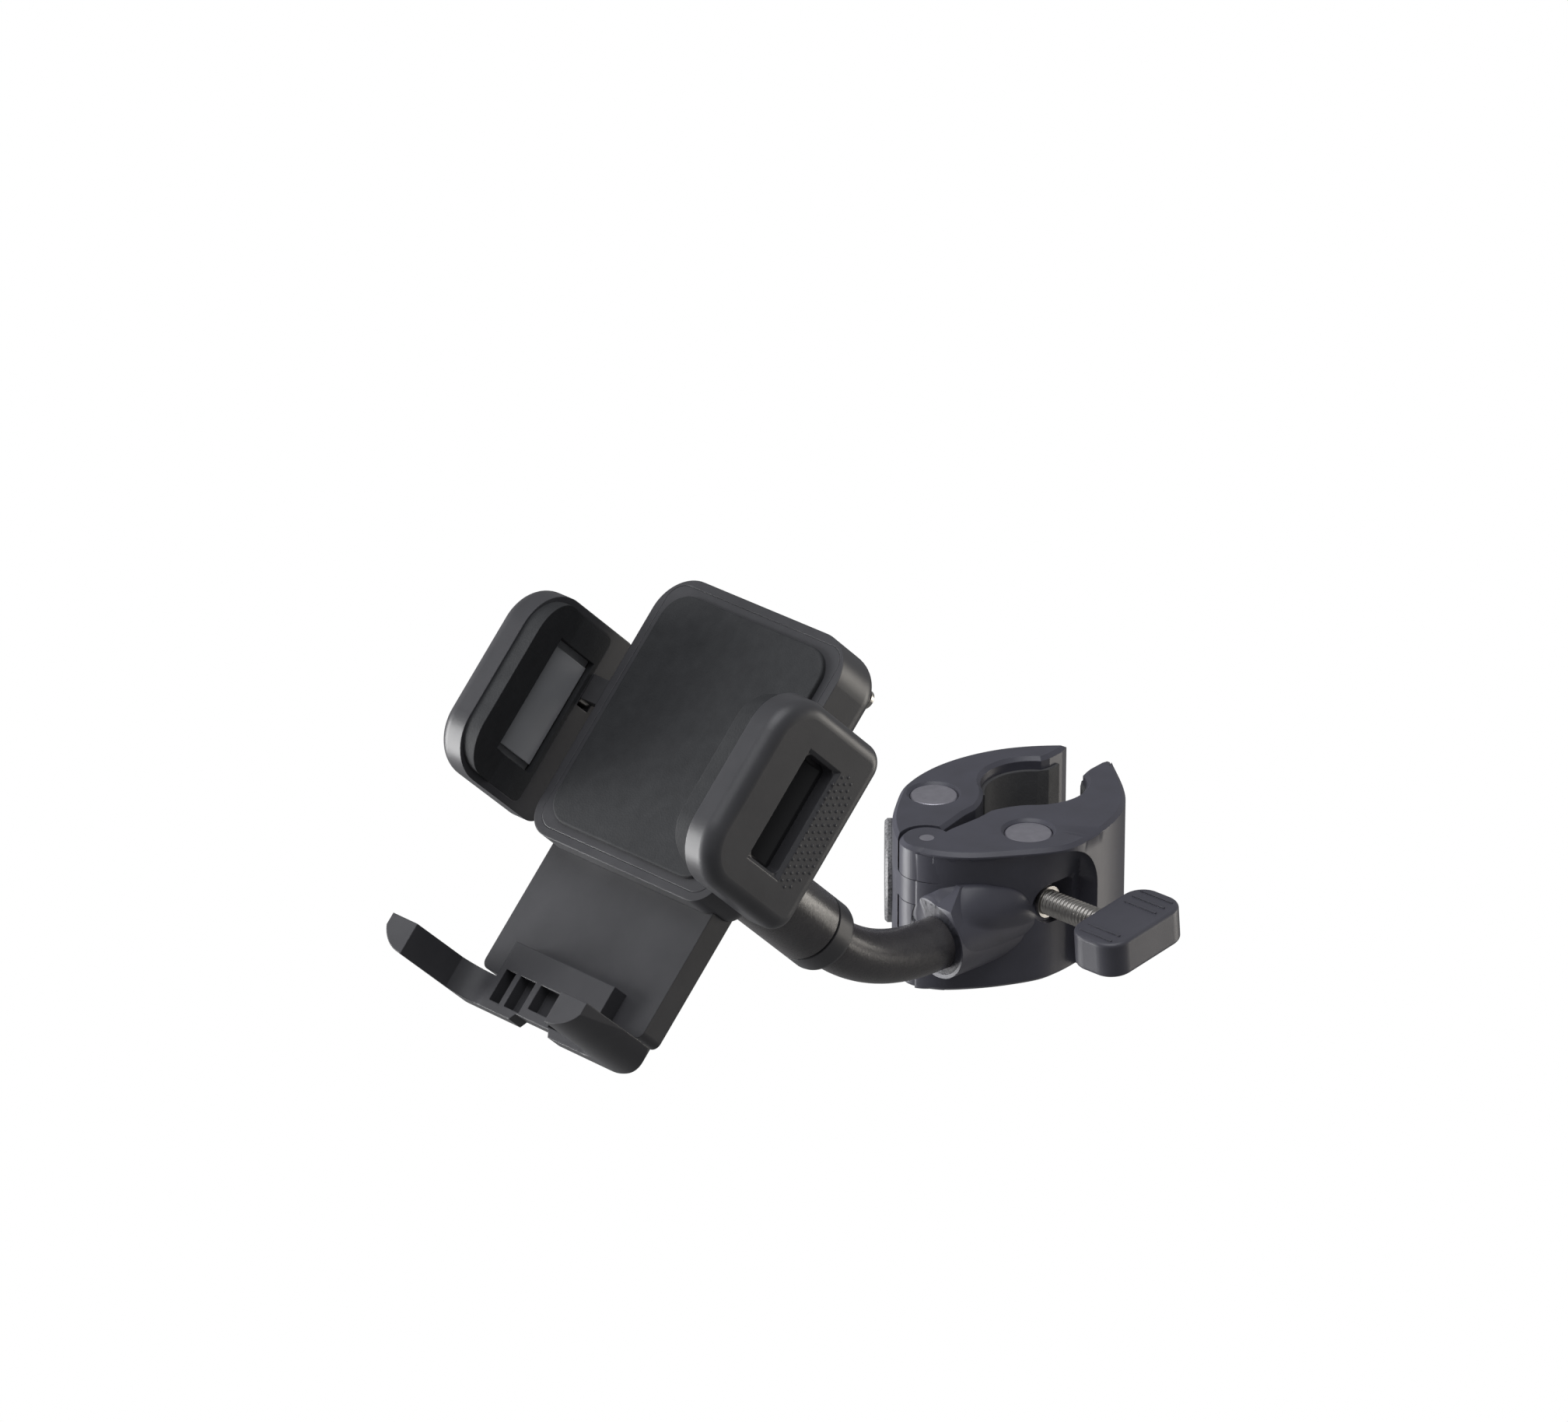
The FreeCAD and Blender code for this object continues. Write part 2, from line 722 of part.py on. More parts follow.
def arm_axis():
    """Upper axis of the arm, pointing from the cradle down towards the clamp."""
    way = vector(*boss_way())
    fall = math.radians(arm_fall)
    return way * math.cos(fall) - up * math.sin(fall)


def tube_marks():
    """Ends of the bend: at the boss side, at the sleeve side, the bend's centre, the collar's end."""
    way = vector(*boss_way())
    low_end = vector(*boss_point(0, 0, 0)) - way * tube_straight
    centre = low_end + up * tube_bend_radius
    fall = math.radians(arm_fall)
    top_end = centre - (way * math.sin(fall) + up * math.cos(fall)) * tube_bend_radius
    return low_end, top_end, centre, top_end - arm_axis() * tube_after_bend


def arm_tube():
    """Bent steel tube: straight in the boss, one wide bend, straight into the sleeve."""
    way = vector(*boss_way())
    low_end, top_end, centre, collar_end = tube_marks()
    bore_radius = tube_radius - tube_wall
    side = up.cross(way)

    def run(radius):
        first = cylinder(radius, tuple(low_end + way * (tube_straight + tube_in_boss)), tuple(-way),
                         tube_straight + tube_in_boss)
        circle = Part.Face(Part.Wire(Part.makeCircle(radius, low_end, way)))
        bend = circle.revolve(centre, side, arm_fall)
        last = cylinder(radius, tuple(top_end), tuple(-arm_axis()), tube_after_bend + tube_in_sleeve)
        return first.fuse([bend, last])

    return run(tube_radius).cut(run(bore_radius))


def turned_on_axis(profile, start, way):
    """Round part from a profile of (distance along the axis, radius) points."""
    points = [vector(radius, 0, along) for along, radius in profile]
    face = Part.Face(Part.makePolygon(points + [points[0]]))
    solid = face.revolve(vector(0, 0, 0), up, 360)
    solid.Placement = FreeCAD.Placement(start, FreeCAD.Rotation(up, way))
    return solid


def ball_centre():
    """Centre of the ball, on the arm's upper axis above the collar."""
    return tube_marks()[3] - arm_axis() * (collar_end_depth - ball_depth)


sleeve_end = collar_end_depth - ball_depth - collar_length


def ball_stud():
    """Ball with its neck and the shank that is held in the sleeve."""
    way = arm_axis()
    centre = ball_centre()
    body = Part.makeSphere(ball_radius, centre)
    neck_length = sleeve_start
    body = body.fuse(cylinder(stem_radius, tuple(centre), tuple(way), neck_length))
    shank = cylinder(shank_radius, tuple(centre), tuple(way), neck_length + shank_length)
    return body.fuse(shank)


def arm_sleeve():
    """Thick sleeve between the ball stud and the tube, with a spigot under the collar's groove."""
    tube_top = collar_end_depth - ball_depth - tube_in_sleeve
    profile = [(sleeve_start, shank_radius), (sleeve_start, sleeve_nose_radius),
               (sleeve_cone_end, sleeve_radius), (sleeve_end - collar_groove, sleeve_radius),
               (sleeve_end - collar_groove, groove_radius), (sleeve_end, groove_radius),
               (sleeve_end, tube_radius), (tube_top, tube_radius), (tube_top, shank_radius)]
    return turned_on_axis(profile, ball_centre(), arm_axis())


def arm_collar():
    """Ring pushed on the tube below the sleeve, its lower end rounded over."""
    length = collar_length
    rounding = sleeve_radius - collar_end_radius
    steps = [(length - rounding * (1 - math.sin(math.radians(a))),
              sleeve_radius - rounding * (1 - math.cos(math.radians(a)))) for a in (0, 30, 60, 90)]
    profile = [(0, tube_radius), (0, sleeve_radius)] + steps + [(length, tube_radius)]
    start = ball_centre() + arm_axis() * sleeve_end
    return turned_on_axis(profile, start, arm_axis())


# Ball joint: two thin shells in front of the ball, and the lock nut behind it

def cradle_placement():
    """Place of the cradle frame: U across the phone, V up it and N out of its glass."""
    normal = -arm_axis()
    level = normal.cross(up)
    level.normalize()
    level = -level
    roll = FreeCAD.Rotation(normal, cradle_roll)
    across = roll.multVec(level)
    along = normal.cross(across)
    origin = ball_centre() + normal * ball_depth + along * neck_drop
    m = FreeCAD.Matrix(across.x, along.x, normal.x, origin.x, across.y, along.y, normal.y, origin.y,
                       across.z, along.z, normal.z, origin.z, 0, 0, 0, 1)
    return FreeCAD.Placement(m)


def in_cradle(shape):
    """Copy of a shape modelled in the cradle frame, put in its place."""
    placed = shape.copy()
    placed.Placement = cradle_placement().multiply(placed.Placement)
    return placed


def cup_shell(inner, wall):
    """Thin spherical cap in front of the ball, in the cradle frame."""
    centre = vector(0, -neck_drop, -ball_depth)
    outer_ball = Part.makeSphere(inner + wall, centre)
    body = outer_ball.cut(Part.makeSphere(inner, centre))
    reach = inner + wall + 1
    slope = math.tan(math.radians(cup_half_angle))
    cone = Part.makeCone(0, reach * slope, reach, centre, up)
    return body.common(cone)


cup_inner = ball_radius + ball_play
cap_inner = cup_inner + cup_wall + cup_play
seat_radius = cap_inner + cap_wall + cup_play


def lock_nut():
    """Ring nut: threaded over the socket, with a round lip behind the ball and a flared mouth."""
    lip_radius = ball_radius + lip_play
    arc_steps = []
    for share in (0.0, 0.33, 0.67, 1.0):
        depth = nut_lip * share
        arc_steps.append((depth, math.sqrt(lip_radius ** 2 - depth ** 2)))
    front = body_back - nut_front_gap + ball_depth
    seat = 0.9
    profile = [(-front, socket_radius + nut_play), (-front, nut_radius), (nut_back, nut_radius),
               (nut_back, arc_steps[-1][1] + 1.3)] + arc_steps[::-1]
    profile += [(-seat, lip_radius + 0.5), (-seat, socket_radius + nut_play)]
    centre = vector(0, -neck_drop, -ball_depth)
    body = turned_on_axis(profile, centre, vector(0, 0, -1))
    rims = [e for e in body.Edges if abs(e.BoundBox.XMax - nut_radius) < 0.01]
    body = body.makeChamfer(0.8, rims)
    for index in range(nut_grooves):
        turn = math.radians(360 * index / nut_grooves)
        at = (math.cos(turn) * (nut_radius + 0.3), math.sin(turn) * (nut_radius + 0.3) - neck_drop,
              -ball_depth - nut_back - 1)
        body = body.cut(cylinder(nut_groove_radius, at, (0, 0, 1), front + nut_back + 2))
    return body


# Cradle housing

rack_front = body_front - cover_thickness - layer_gap
rack_back = rack_front - rack_thickness
pinion_v = arm_top - arm_length / 2
pitch_radius = gear_module * gear_teeth / 2
button_v = button_height


def rack_span(side):
    """Range of v that a rack takes up: above the pinion on the left, below it on the right."""
    near = pitch_radius - rack_addendum
    far = pitch_radius + 1.25 * gear_module + rack_width
    if side < 0:
        return pinion_v + near, pinion_v + far
    return pinion_v - far, pinion_v - near


def cover_screw_places():
    """Places of the two screws that hold the front cover, near its top corners."""
    u = body_half_width - cover_screw_in
    v = body_top - cover_screw_down
    return [(-u, v), (u, v)]


def cradle_housing():
    """Back shell of the cradle with its socket for the ball joint."""
    low = (-body_half_width, body_bottom, body_back)
    high = (body_half_width, body_top, body_front)
    block = box(low, high)
    tops = [e for e in edges_along(block, 2) if e.Vertexes[0].Point.y > 0]
    block = block.makeFillet(body_corner, tops)
    feet = [e for e in edges_along(block, 2) if e.BoundBox.YMin < body_bottom + 1]
    block = block.makeFillet(body_foot_corner, feet)
    block = block.makeFillet(body_rounding, edges_at(block, 2, body_back))
    wall = body_wall
    inside_low = (-body_half_width + wall, body_bottom + wall, body_back + body_back_wall)
    inside_high = (body_half_width - wall, body_top - wall, body_front + 1)
    cavity = rounded_box(inside_low, inside_high, 2, body_foot_corner - wall)
    shape = block.cut(cavity)
    socket_end = (0, -neck_drop, socket_short - ball_depth)
    shape = shape.fuse(cylinder(socket_radius, socket_end, up, body_back + body_back_wall - socket_end[2]))
    shape = shape.cut(Part.makeSphere(seat_radius, vector(0, -neck_drop, -ball_depth)))
    channel_half = slide_half_width + slide_play
    mouth = box((-channel_half, body_bottom - 1, slide_back - 0.1),
                (channel_half, body_bottom + body_foot_corner + 0.5, slide_front + slide_play))
    shape = shape.cut(mouth)
    for side in (-1, 1):
        v0, v1 = rack_span(side)
        u0 = side * (body_half_width - wall - 1)
        u1 = side * (body_half_width + 1)
        slot = box((min(u0, u1), v0 - rack_clearance, rack_back - rack_clearance),
                   (max(u0, u1), v1 + rack_clearance, rack_front + rack_clearance))
        shape = shape.cut(slot)
    for u, v in cover_screw_places():
        floor = body_back + body_back_wall - 0.2
        post = cylinder(post_radius, (u, v, floor), up, body_front - cover_thickness - floor)
        shape = shape.fuse(post.common(block))
        shape = shape.cut(cylinder(cover_screw_radius, (u, v, body_back - 1), up, 40))
        shape = shape.cut(cylinder(cover_screw_head, (u, v, body_back - 1), up, cover_screw_sink))
    hole = cylinder(button_radius + button_play, (0, button_v, body_back - 1), up, body_back_wall + 2)
    return shape.cut(hole)


def front_cover():
    """Flat front of the housing with the post that the pinion turns on."""
    wall = body_wall + 0.05
    low = (-body_half_width + wall, body_bottom + wall, body_front - cover_thickness)
    high = (body_half_width - wall, body_top - wall, body_front)
    plate = rounded_box(low, high, 2, body_foot_corner - body_wall)
    post = cylinder(pinion_post_radius, (0, pinion_v, low[2] + 0.2), (0, 0, -1), rack_thickness + 0.4)
    plate = plate.fuse(post)
    for u, v in cover_screw_places():
        plate = plate.cut(cylinder(cover_screw_radius, (u, v, low[2] - 1), up, cover_thickness + 0.4))
    return plate


def front_cushion():
    """Thin rubber sheet that the phone leans on."""
    inset = cushion_inset
    low = (-body_half_width + inset, body_bottom + inset, body_front)
    high = (body_half_width - inset, body_top - inset, body_front + cushion_thickness)
    sheet = rounded_box(low, high, 2, body_foot_corner)
    return sheet.makeFillet(0.4, edges_at(sheet, 2, high[2]))


def cover_screws():
    """Screws through the housing into the front cover, heads sunk in the back."""
    screws = []
    seat = body_back - 1 + cover_screw_sink
    for u, v in cover_screw_places():
        shank = cylinder(cover_screw_radius, (u, v, seat), up, body_front - cover_thickness + 0.6 - seat)
        head = cylinder(cover_screw_head - 0.05, (u, v, seat - 1.0), up, 1.0)
        screws.append(shank.fuse(head))
    return Part.makeCompound(screws)


def rack_bar(side):
    """Toothed slide of one arm: teeth on the pinion's side, plain bar out to the arm."""
    v0, v1 = rack_span(side)
    root = pinion_v - side * (pitch_radius + 1.25 * gear_module)
    tip = pinion_v - side * (pitch_radius - rack_addendum)
    far = v0 if side > 0 else v1
    inner = -side * rack_inner_end
    outer = side * rack_outer_end
    shape = box((min(inner, outer), min(root, far), rack_back),
                (max(inner, outer), max(root, far), rack_front))
    pitch = math.pi * gear_module
    half = pitch / 4 - gear_backlash / 4
    slope = math.tan(math.radians(20))
    at_tip = half - (pitch_radius - abs(tip - pinion_v)) * slope
    at_root = half + (abs(root - pinion_v) - pitch_radius) * slope
    deep = root - side * 0.5
    teeth = []
    for index in range(-int((arm_out + 4) / pitch), int((arm_in + 4) / pitch) + 1):
        centre = side * index * pitch
        tooth = [(centre - at_root, root, rack_back), (centre - at_tip, tip, rack_back),
                 (centre + at_tip, tip, rack_back), (centre + at_root, root, rack_back),
                 (centre + at_root, deep, rack_back), (centre - at_root, deep, rack_back)]
        teeth.append(polygon_prism(tooth, (0, 0, rack_thickness)))
    shape = shape.fuse(teeth)
    if side > 0:
        low = (lug_place, far - lug_height, rack_back)
        shape = shape.fuse(box(low, (lug_place + lug_width, far + 0.5, rack_front)))
    for v in arm_screw_places(side):
        place = (side * (rack_outer_end - arm_screw_in), v, rack_back - 1)
        shape = shape.cut(cylinder(arm_screw_radius, place, up, rack_thickness + 2))
    return shape


def arm_screw_places(side):
    """Heights of the two screws that hold one arm to its rack."""
    v0, v1 = rack_span(side)
    middle = (v0 + v1) / 2
    return [middle - arm_screw_half_gap, middle + arm_screw_half_gap]


def involute_point(base, roll):
    """Point of an involute of a base circle after a roll angle in radians."""
    return (base * (math.cos(roll) + roll * math.sin(roll)), base * (math.sin(roll) - roll * math.cos(roll)))


def pinion():
    """Small gear between the two racks, with involute teeth."""
    base = pitch_radius * math.cos(math.radians(20))
    tip = pitch_radius + gear_module
    root = pitch_radius - 1.25 * gear_module
    pitch_roll = math.tan(math.radians(20))
    pitch_flank = pitch_roll - math.radians(20)
    half_tooth = math.pi / 2 / gear_teeth - gear_backlash / 4 / pitch_radius
    tip_roll = math.sqrt((tip / base) ** 2 - 1)
    flank = [involute_point(base, tip_roll * share) for share in (0.0, 0.45, 0.75, 1.0)]
    shift = half_tooth + pitch_flank
    points = []
    for index in range(gear_teeth):
        middle = 2 * math.pi * index / gear_teeth
        left = [(math.hypot(x, y), shift - math.atan2(y, x)) for x, y in flank]
        left = [(root, left[0][1])] + left
        for radius, angle in left:
            points.append((radius * math.cos(middle - angle), radius * math.sin(middle - angle)))
        for radius, angle in left[::-1]:
            points.append((radius * math.cos(middle + angle), radius * math.sin(middle + angle)))
    gear = polygon_prism([(x, y + pinion_v, rack_back) for x, y in points], (0, 0, rack_thickness))
    return gear.cut(cylinder(pinion_post_radius + pinion_play, (0, pinion_v, rack_back - 1), up,
                             rack_thickness + 2))


# Side arms, modelled on the right (u > 0) and mirrored for the left

arm_bottom = arm_top - arm_length
window_top = arm_top - window_below_top
window_bottom = window_top - window_length
window_back = window_front - window_width


def mirrored(shape, side):
    """Copy of a right-hand shape for the given side."""
    if side > 0:
        return shape
    return shape.mirror(vector(0, 0, 0), vector(1, 0, 0))


def round_plate(low, high, front_corner, back_corner):
    """Plate across u whose corners towards the glass and towards the back have their own radius."""
    block = box(low, high)
    front = [e for e in edges_along(block, 0) if e.Vertexes[0].Point.z > high[2] - 0.01]
    block = block.makeFillet(front_corner, front)
    back = [e for e in edges_along(block, 0) if e.BoundBox.ZMax < low[2] + 0.01]
    return block.makeFillet(back_corner, back)


def arm_shell(side):
    """Side arm: rounded shell with a pocket for the rubber pad and a window in its outer wall."""
    shell = round_plate((arm_inner, arm_bottom, arm_back), (arm_outer, arm_top, arm_hook),
                        arm_front_corner, arm_back_corner)
    shell = shell.makeFillet(arm_edge, edges_at(shell, 0, arm_outer))
    inset = pocket_inset
    pocket = round_plate((arm_inner - 1, arm_bottom + inset, window_back - pocket_past_window),
                         (arm_inner + pocket_depth, arm_top - inset, arm_hook - inset),
                         arm_front_corner - inset, 2.0)
    shell = shell.cut(pocket)
    seat = bar_flange
    ledge = box((arm_inner, window_bottom - seat, window_back - seat),
                (arm_inner + pocket_depth + bar_thickness + 0.4, window_top + seat, window_front + seat))
    shell = shell.cut(ledge)
    window = rounded_box((arm_inner, window_bottom, window_back), (arm_outer + 1, window_top, window_front),
                         0, window_corner)
    shell = shell.cut(window)
    mouth = window_mouth()
    shell = shell.cut(mouth)
    v0, v1 = rack_span(side)
    socket = box((arm_inner - 1, v0, rack_back), (rack_outer_end, v1, rack_front))
    shell = shell.cut(socket)
    for v in arm_screw_places(side):
        place = (rack_outer_end - arm_screw_in, v, arm_back - 1)
        shell = shell.cut(cylinder(arm_screw_radius, place, up, rack_front + 2 - arm_back))
        shell = shell.cut(cylinder(arm_screw_head, place, up, arm_screw_sink))
    return mirrored(shell, side)


def window_mouth():
    """Bevel round the outside of the window."""
    spread = 0.8
    near = arm_outer - spread
    outlines = []
    for grow, u in ((0.0, near), (spread, arm_outer + 0.001)):
        low = (window_bottom - grow, window_back - grow)
        high = (window_top + grow, window_front + grow)
        corners = [(u, low[0], low[1]), (u, high[0], low[1]), (u, high[0], high[1]), (u, low[0], high[1])]
        outlines.append(Part.makePolygon([vector(*c) for c in corners] + [vector(*corners[0])]))
    return Part.makeLoft(outlines, True, True)


def arm_pad(side):
    """Rubber pad in the pocket: thick where it hooks over the glass, thin beside the phone."""
    inset = pocket_inset
    top = arm_top - inset
    bottom = arm_bottom + inset
    front = arm_hook - pad_front_inset
    back = window_back - pocket_past_window
    plug = round_plate((arm_inner - pad_reach - 1, bottom, back),
                       (arm_inner + pocket_depth, top, arm_hook - inset), arm_front_corner - inset, 2.0)
    nose = round_plate((arm_inner - pad_reach - 1, bottom, back), (arm_inner, top, front),
                       arm_front_corner - inset, 2.0)
    shape = plug.fuse(nose)
    side_plane = phone_width / 2 + arm_side_gap
    slope_end = front - pad_slope_depth
    near = arm_inner - pad_reach
    far = arm_inner + pocket_depth + 1
    section = [(near, front + 1), (near, front), (side_plane, slope_end), (side_plane, back - 1),
               (far, back - 1), (far, front + 1)]
    section = [(u, bottom - 1, n) for u, n in section]
    shape = shape.common(polygon_prism(section, (0, arm_length + 2, 0)))
    gap = 1.2
    slot = box((arm_inner - pad_reach - 1, window_bottom - gap - bar_play, back + 1.2),
               (arm_inner + pocket_depth + 1, window_top + gap + bar_play, window_front + 2.1 + bar_play))
    return mirrored(shape.cut(slot), side)


def grip_bar(side):
    """Smoother bar seated behind the window, hollowed on the window's side."""
    seat = bar_flange - bar_play
    floor = arm_inner + pocket_depth + bar_thickness + 0.4
    flange = box((floor - bar_thickness, window_bottom - seat, window_back - seat),
                 (floor, window_top + seat, window_front + seat))
    nose = rounded_box((bar_face, window_bottom + 0.4, window_back - 1.0),
                       (floor - 0.4, window_top - 0.4, window_front + 1.2), 1, 0.35)
    shape = flange.fuse(nose)
    dish_radius = window_width * 0.9
    middle = (window_front + window_back) / 2
    start = (floor + dish_radius - 1.0, window_bottom + 1.0, middle)
    dish = cylinder(dish_radius, start, (0, 1, 0), window_length - 2.0)
    return mirrored(shape.cut(dish), side)


def arm_screws(side):
    """Two screws through the back of one arm into the end of its rack."""
    screws = []
    seat = arm_back - 1 + arm_screw_sink
    u = rack_outer_end - arm_screw_in
    for v in arm_screw_places(side):
        shank = cylinder(arm_screw_radius, (u, v, seat), up, rack_front - 0.6 - seat)
        head = cylinder(arm_screw_head - 0.05, (u, v, seat - 1.4), up, 1.4)
        screws.append(mirrored(shank.fuse(head), side))
    return Part.makeCompound(screws)


# Foot slide and foot

def foot_slide():
    """Flat channel that slides down out of the housing: a front plate with two side rails."""
    half = slide_half_width
    low = (-half, slide_bottom, slide_back)
    block = rounded_box(low, (half, slide_top, slide_front), 2, 2.0)
    inside = box((-half + slide_rail, slide_bottom + 0.9, slide_back - 1),
                 (half - slide_rail, slide_top - slide_rail, slide_front - slide_wall))
    block = block.cut(inside)
    for u, v in foot_screw_places():
        block = block.cut(cylinder(foot_screw_radius, (u, v, slide_back - 1), up, slide_depth + 2))
    return block


def foot_screw_places():
    """Places of the two screws between the slide and the foot."""
    v = foot_plate_top - foot_screw_down
    return [(-foot_screw_spread, v), (foot_screw_spread, v)]


def foot_corner_cut(side):
    """What lies outside one rounded lower corner of the foot."""
    near = side * (foot_half_width - foot_corner)
    far = side * (foot_half_width + 1)
    top = foot_bottom + foot_corner
    block = box((min(near, far), foot_bottom - 1, slide_front - 1), (max(near, far), top, foot_hook + 1))
    return block.cut(cylinder(foot_corner, (near, top, slide_front - 2), up, foot_hook - slide_front + 4))


def foot():
    """Claw foot: two prongs that carry the phone, a curved web and a pierced centre plate."""
    half = foot_half_width
    inner = foot_prong_inner
    back = slide_front
    edges = []
    for side in (1, -1):
        plate = (side * foot_plate_half, foot_plate_front)
        hollow = (side * (foot_plate_half + 4.3), foot_plate_front + 0.8)
        ridge = (side * inner, foot_ridge)
        tip_in = (side * inner, foot_hook)
        tip_out = (side * (half - 1.2), foot_hook)
        side_mid = (side * (half - 0.35), 0.0)
        side_end = (side * half, foot_side_back)
        turn = (side * (half - 1.4), (foot_side_back + back) / 2 - 1.2)
        back_end = (side * (half - foot_back_corner), back)
        edges += [arc(plate, hollow, ridge), line(ridge, tip_in), line(tip_in, tip_out)]
        edges += [arc(tip_out, side_mid, side_end), arc(side_end, turn, back_end)]
    edges.append(line((foot_plate_half, foot_plate_front), (-foot_plate_half, foot_plate_front)))
    edges.append(line((half - foot_back_corner, back), (-half + foot_back_corner, back)))
    outline = Part.Face(Part.Wire(Part.__sortEdges__(edges)))
    outline.rotate(vector(0, 0, 0), vector(1, 0, 0), 90)
    outline.translate(vector(0, foot_bottom, 0))
    if outline.BoundBox.ZMax < foot_hook - 1:
        outline = outline.mirror(vector(0, 0, 0), up)
    body = outline.extrude(vector(0, foot_top - foot_bottom, 0))
    for side in (-1, 1):
        body = body.cut(foot_corner_cut(side))
    plate = box((-foot_plate_half, foot_bottom, slide_front),
                (foot_plate_half, foot_plate_top, foot_plate_front))
    body = body.fuse(plate).cut(foot_windows())
    low, high = foot_bottom - 1, foot_bottom + foot_notch_depth
    slope = foot_notch_half - 0.8
    notch = [(-foot_notch_half - 0.8, low), (-slope, high), (slope, high), (foot_notch_half + 0.8, low)]
    body = body.cut(polygon_prism([(u, v, slide_front - 1) for u, v in notch], (0, 0, 20)))
    for u, v in foot_screw_places():
        body = body.cut(cylinder(foot_screw_radius, (u, v, slide_front - 1), up, foot_screw_bite + 1.2))
    return body


def foot_windows():
    """Five recesses in the front of the centre plate: a wide one in the middle and two on each side."""
    top = foot_plate_top - 6.4
    floor = slide_front + foot_floor
    recesses = [box((-3.0, foot_bottom + 3.8, floor), (3.0, top, foot_plate_front + 1))]
    for u0, u1 in ((4.7, 9.5), (11.0, 14.2)):
        for low, high in ((u0, u1), (-u1, -u0)):
            recesses.append(box((low, foot_bottom + 2.1, floor), (high, top, foot_plate_front + 1)))
    return Part.makeCompound(recesses)


def foot_screws():
    """Two screws from behind the slide into the foot's centre plate."""
    screws = []
    seat = slide_front - slide_wall
    for u, v in foot_screw_places():
        shank = cylinder(foot_screw_radius, (u, v, seat), up, slide_wall + foot_screw_bite)
        head = cylinder(foot_screw_head, (u, v, seat - 1.4), up, 1.4)
        screws.append(shank.fuse(head))
    return Part.makeCompound(screws)


def coil(radius, turns, start, way, length):
    """Coil spring of round wire along +Z, placed afterwards: half rings, each tilted by half the pitch,
    that meet where the wire runs level."""
    halves = int(2 * turns)
    rise = (length - spring_wire) / halves
    reach = math.sqrt(radius ** 2 - (rise / 2) ** 2)
    marks = [vector(reach * (-1) ** k, 0, k * rise) for k in range(halves + 1)]
    level = vector(0, 1, 0)
    walls = []
    for k, (a, b) in enumerate(zip(marks, marks[1:])):
        rim = Part.makeCircle(spring_wire / 2, a, level)
        axis = (b - a).cross(level) * (-1) ** k
        walls += rim.revolve((a + b) / 2, axis, 180).Faces
    rims = [Part.makeCircle(spring_wire / 2, mark, level) for mark in (marks[0], marks[-1])]
    shell = Part.makeShell(walls + [Part.Face(Part.Wire(rim)) for rim in rims])
    shell.sewShape()
    body = Part.Solid(shell)
    if body.Volume < 0:
        body.reverse()
    base = vector(*start) + vector(*way) * (spring_wire / 2)
    body.Placement = FreeCAD.Placement(base, FreeCAD.Rotation(up, vector(*way)))
    return body


tongue_back = rack_back - tongue_thickness + 0.7


def release_button():
    """Push button in the back wall, with the tongue whose shoe lies against the left rack."""
    bottom = body_back - button_stand
    inner_face = body_back + body_back_wall + 0.05
    cap = cylinder(button_radius, (0, button_v, bottom), up, inner_face + 0.5 - bottom)
    cap = cap.makeFillet(0.7, edges_at(cap, 2, bottom))
    flange = cylinder(button_flange_radius, (0, button_v, inner_face), up, button_flange)
    stem = cylinder(button_stem_radius, (0, button_v, body_back), up, tongue_back + 0.2 - body_back)
    disc_radius = button_spring_radius + spring_wire + 0.4
    disc = cylinder(disc_radius, (0, button_v, tongue_back), up, tongue_thickness)
    shoe_v = rack_span(-1)[1] + shoe_gap
    half = tongue_half_width
    tongue = box((-half, shoe_v, tongue_back), (half, button_v, tongue_back + tongue_thickness))
    shoe = box((-half, shoe_v, tongue_back), (half, shoe_v + 1.3, rack_front - button_travel - layer_gap))
    return cap.fuse([flange, stem, disc, tongue, shoe])


def button_spring():
    """Coil between the tongue and the front cover that pushes the button out."""
    start = (0, button_v, tongue_back + tongue_thickness)
    end = body_front - cover_thickness
    return coil(button_spring_radius, button_spring_turns, start, (0, 0, 1), end - start[2])


def opening_spring():
    """Long coil from the housing's left wall to the right rack's lug, which pushes the arms apart."""
    v = rack_span(1)[0] - lug_height / 2 - 0.3
    start = (-body_half_width + body_wall, v, (rack_front + rack_back) / 2)
    return coil(opening_spring_radius, opening_spring_turns, start, (1, 0, 0), lug_place - start[0])


write("front_jaw", front_jaw())
write("rear_jaw", rear_jaw())
write("front_jaw_pad", lining(-1))
write("rear_jaw_pad", lining(1))
write("pivot_pin", knuckle(-half_height + 0.2, half_height - 0.05, pin_radius))
write("swivel_barrel", cross_barrel(front_barrel, front_barrel_recess))
write("nut_barrel", cross_barrel(rear_barrel, rear_barrel_recess))
write("clamp_screw", clamp_screw())
write("screw_clips", screw_clips())
write("knob", knob())
write("arm_tube", arm_tube())
write("arm_sleeve", arm_sleeve())
write("arm_collar", arm_collar())
write("ball_stud", ball_stud())
write("friction_cup", in_cradle(cup_shell(cup_inner, cup_wall)))
write("pressure_cap", in_cradle(cup_shell(cap_inner, cap_wall)))
write("lock_nut", in_cradle(lock_nut()))
write("cradle_housing", in_cradle(cradle_housing()))
write("front_cover", in_cradle(front_cover()))
write("front_cushion", in_cradle(front_cushion()))
write("cover_screws", in_cradle(cover_screws()))
write("pinion", in_cradle(pinion()))
write("release_button", in_cradle(release_button()))
write("button_spring", in_cradle(button_spring()))
write("opening_spring", in_cradle(opening_spring()))
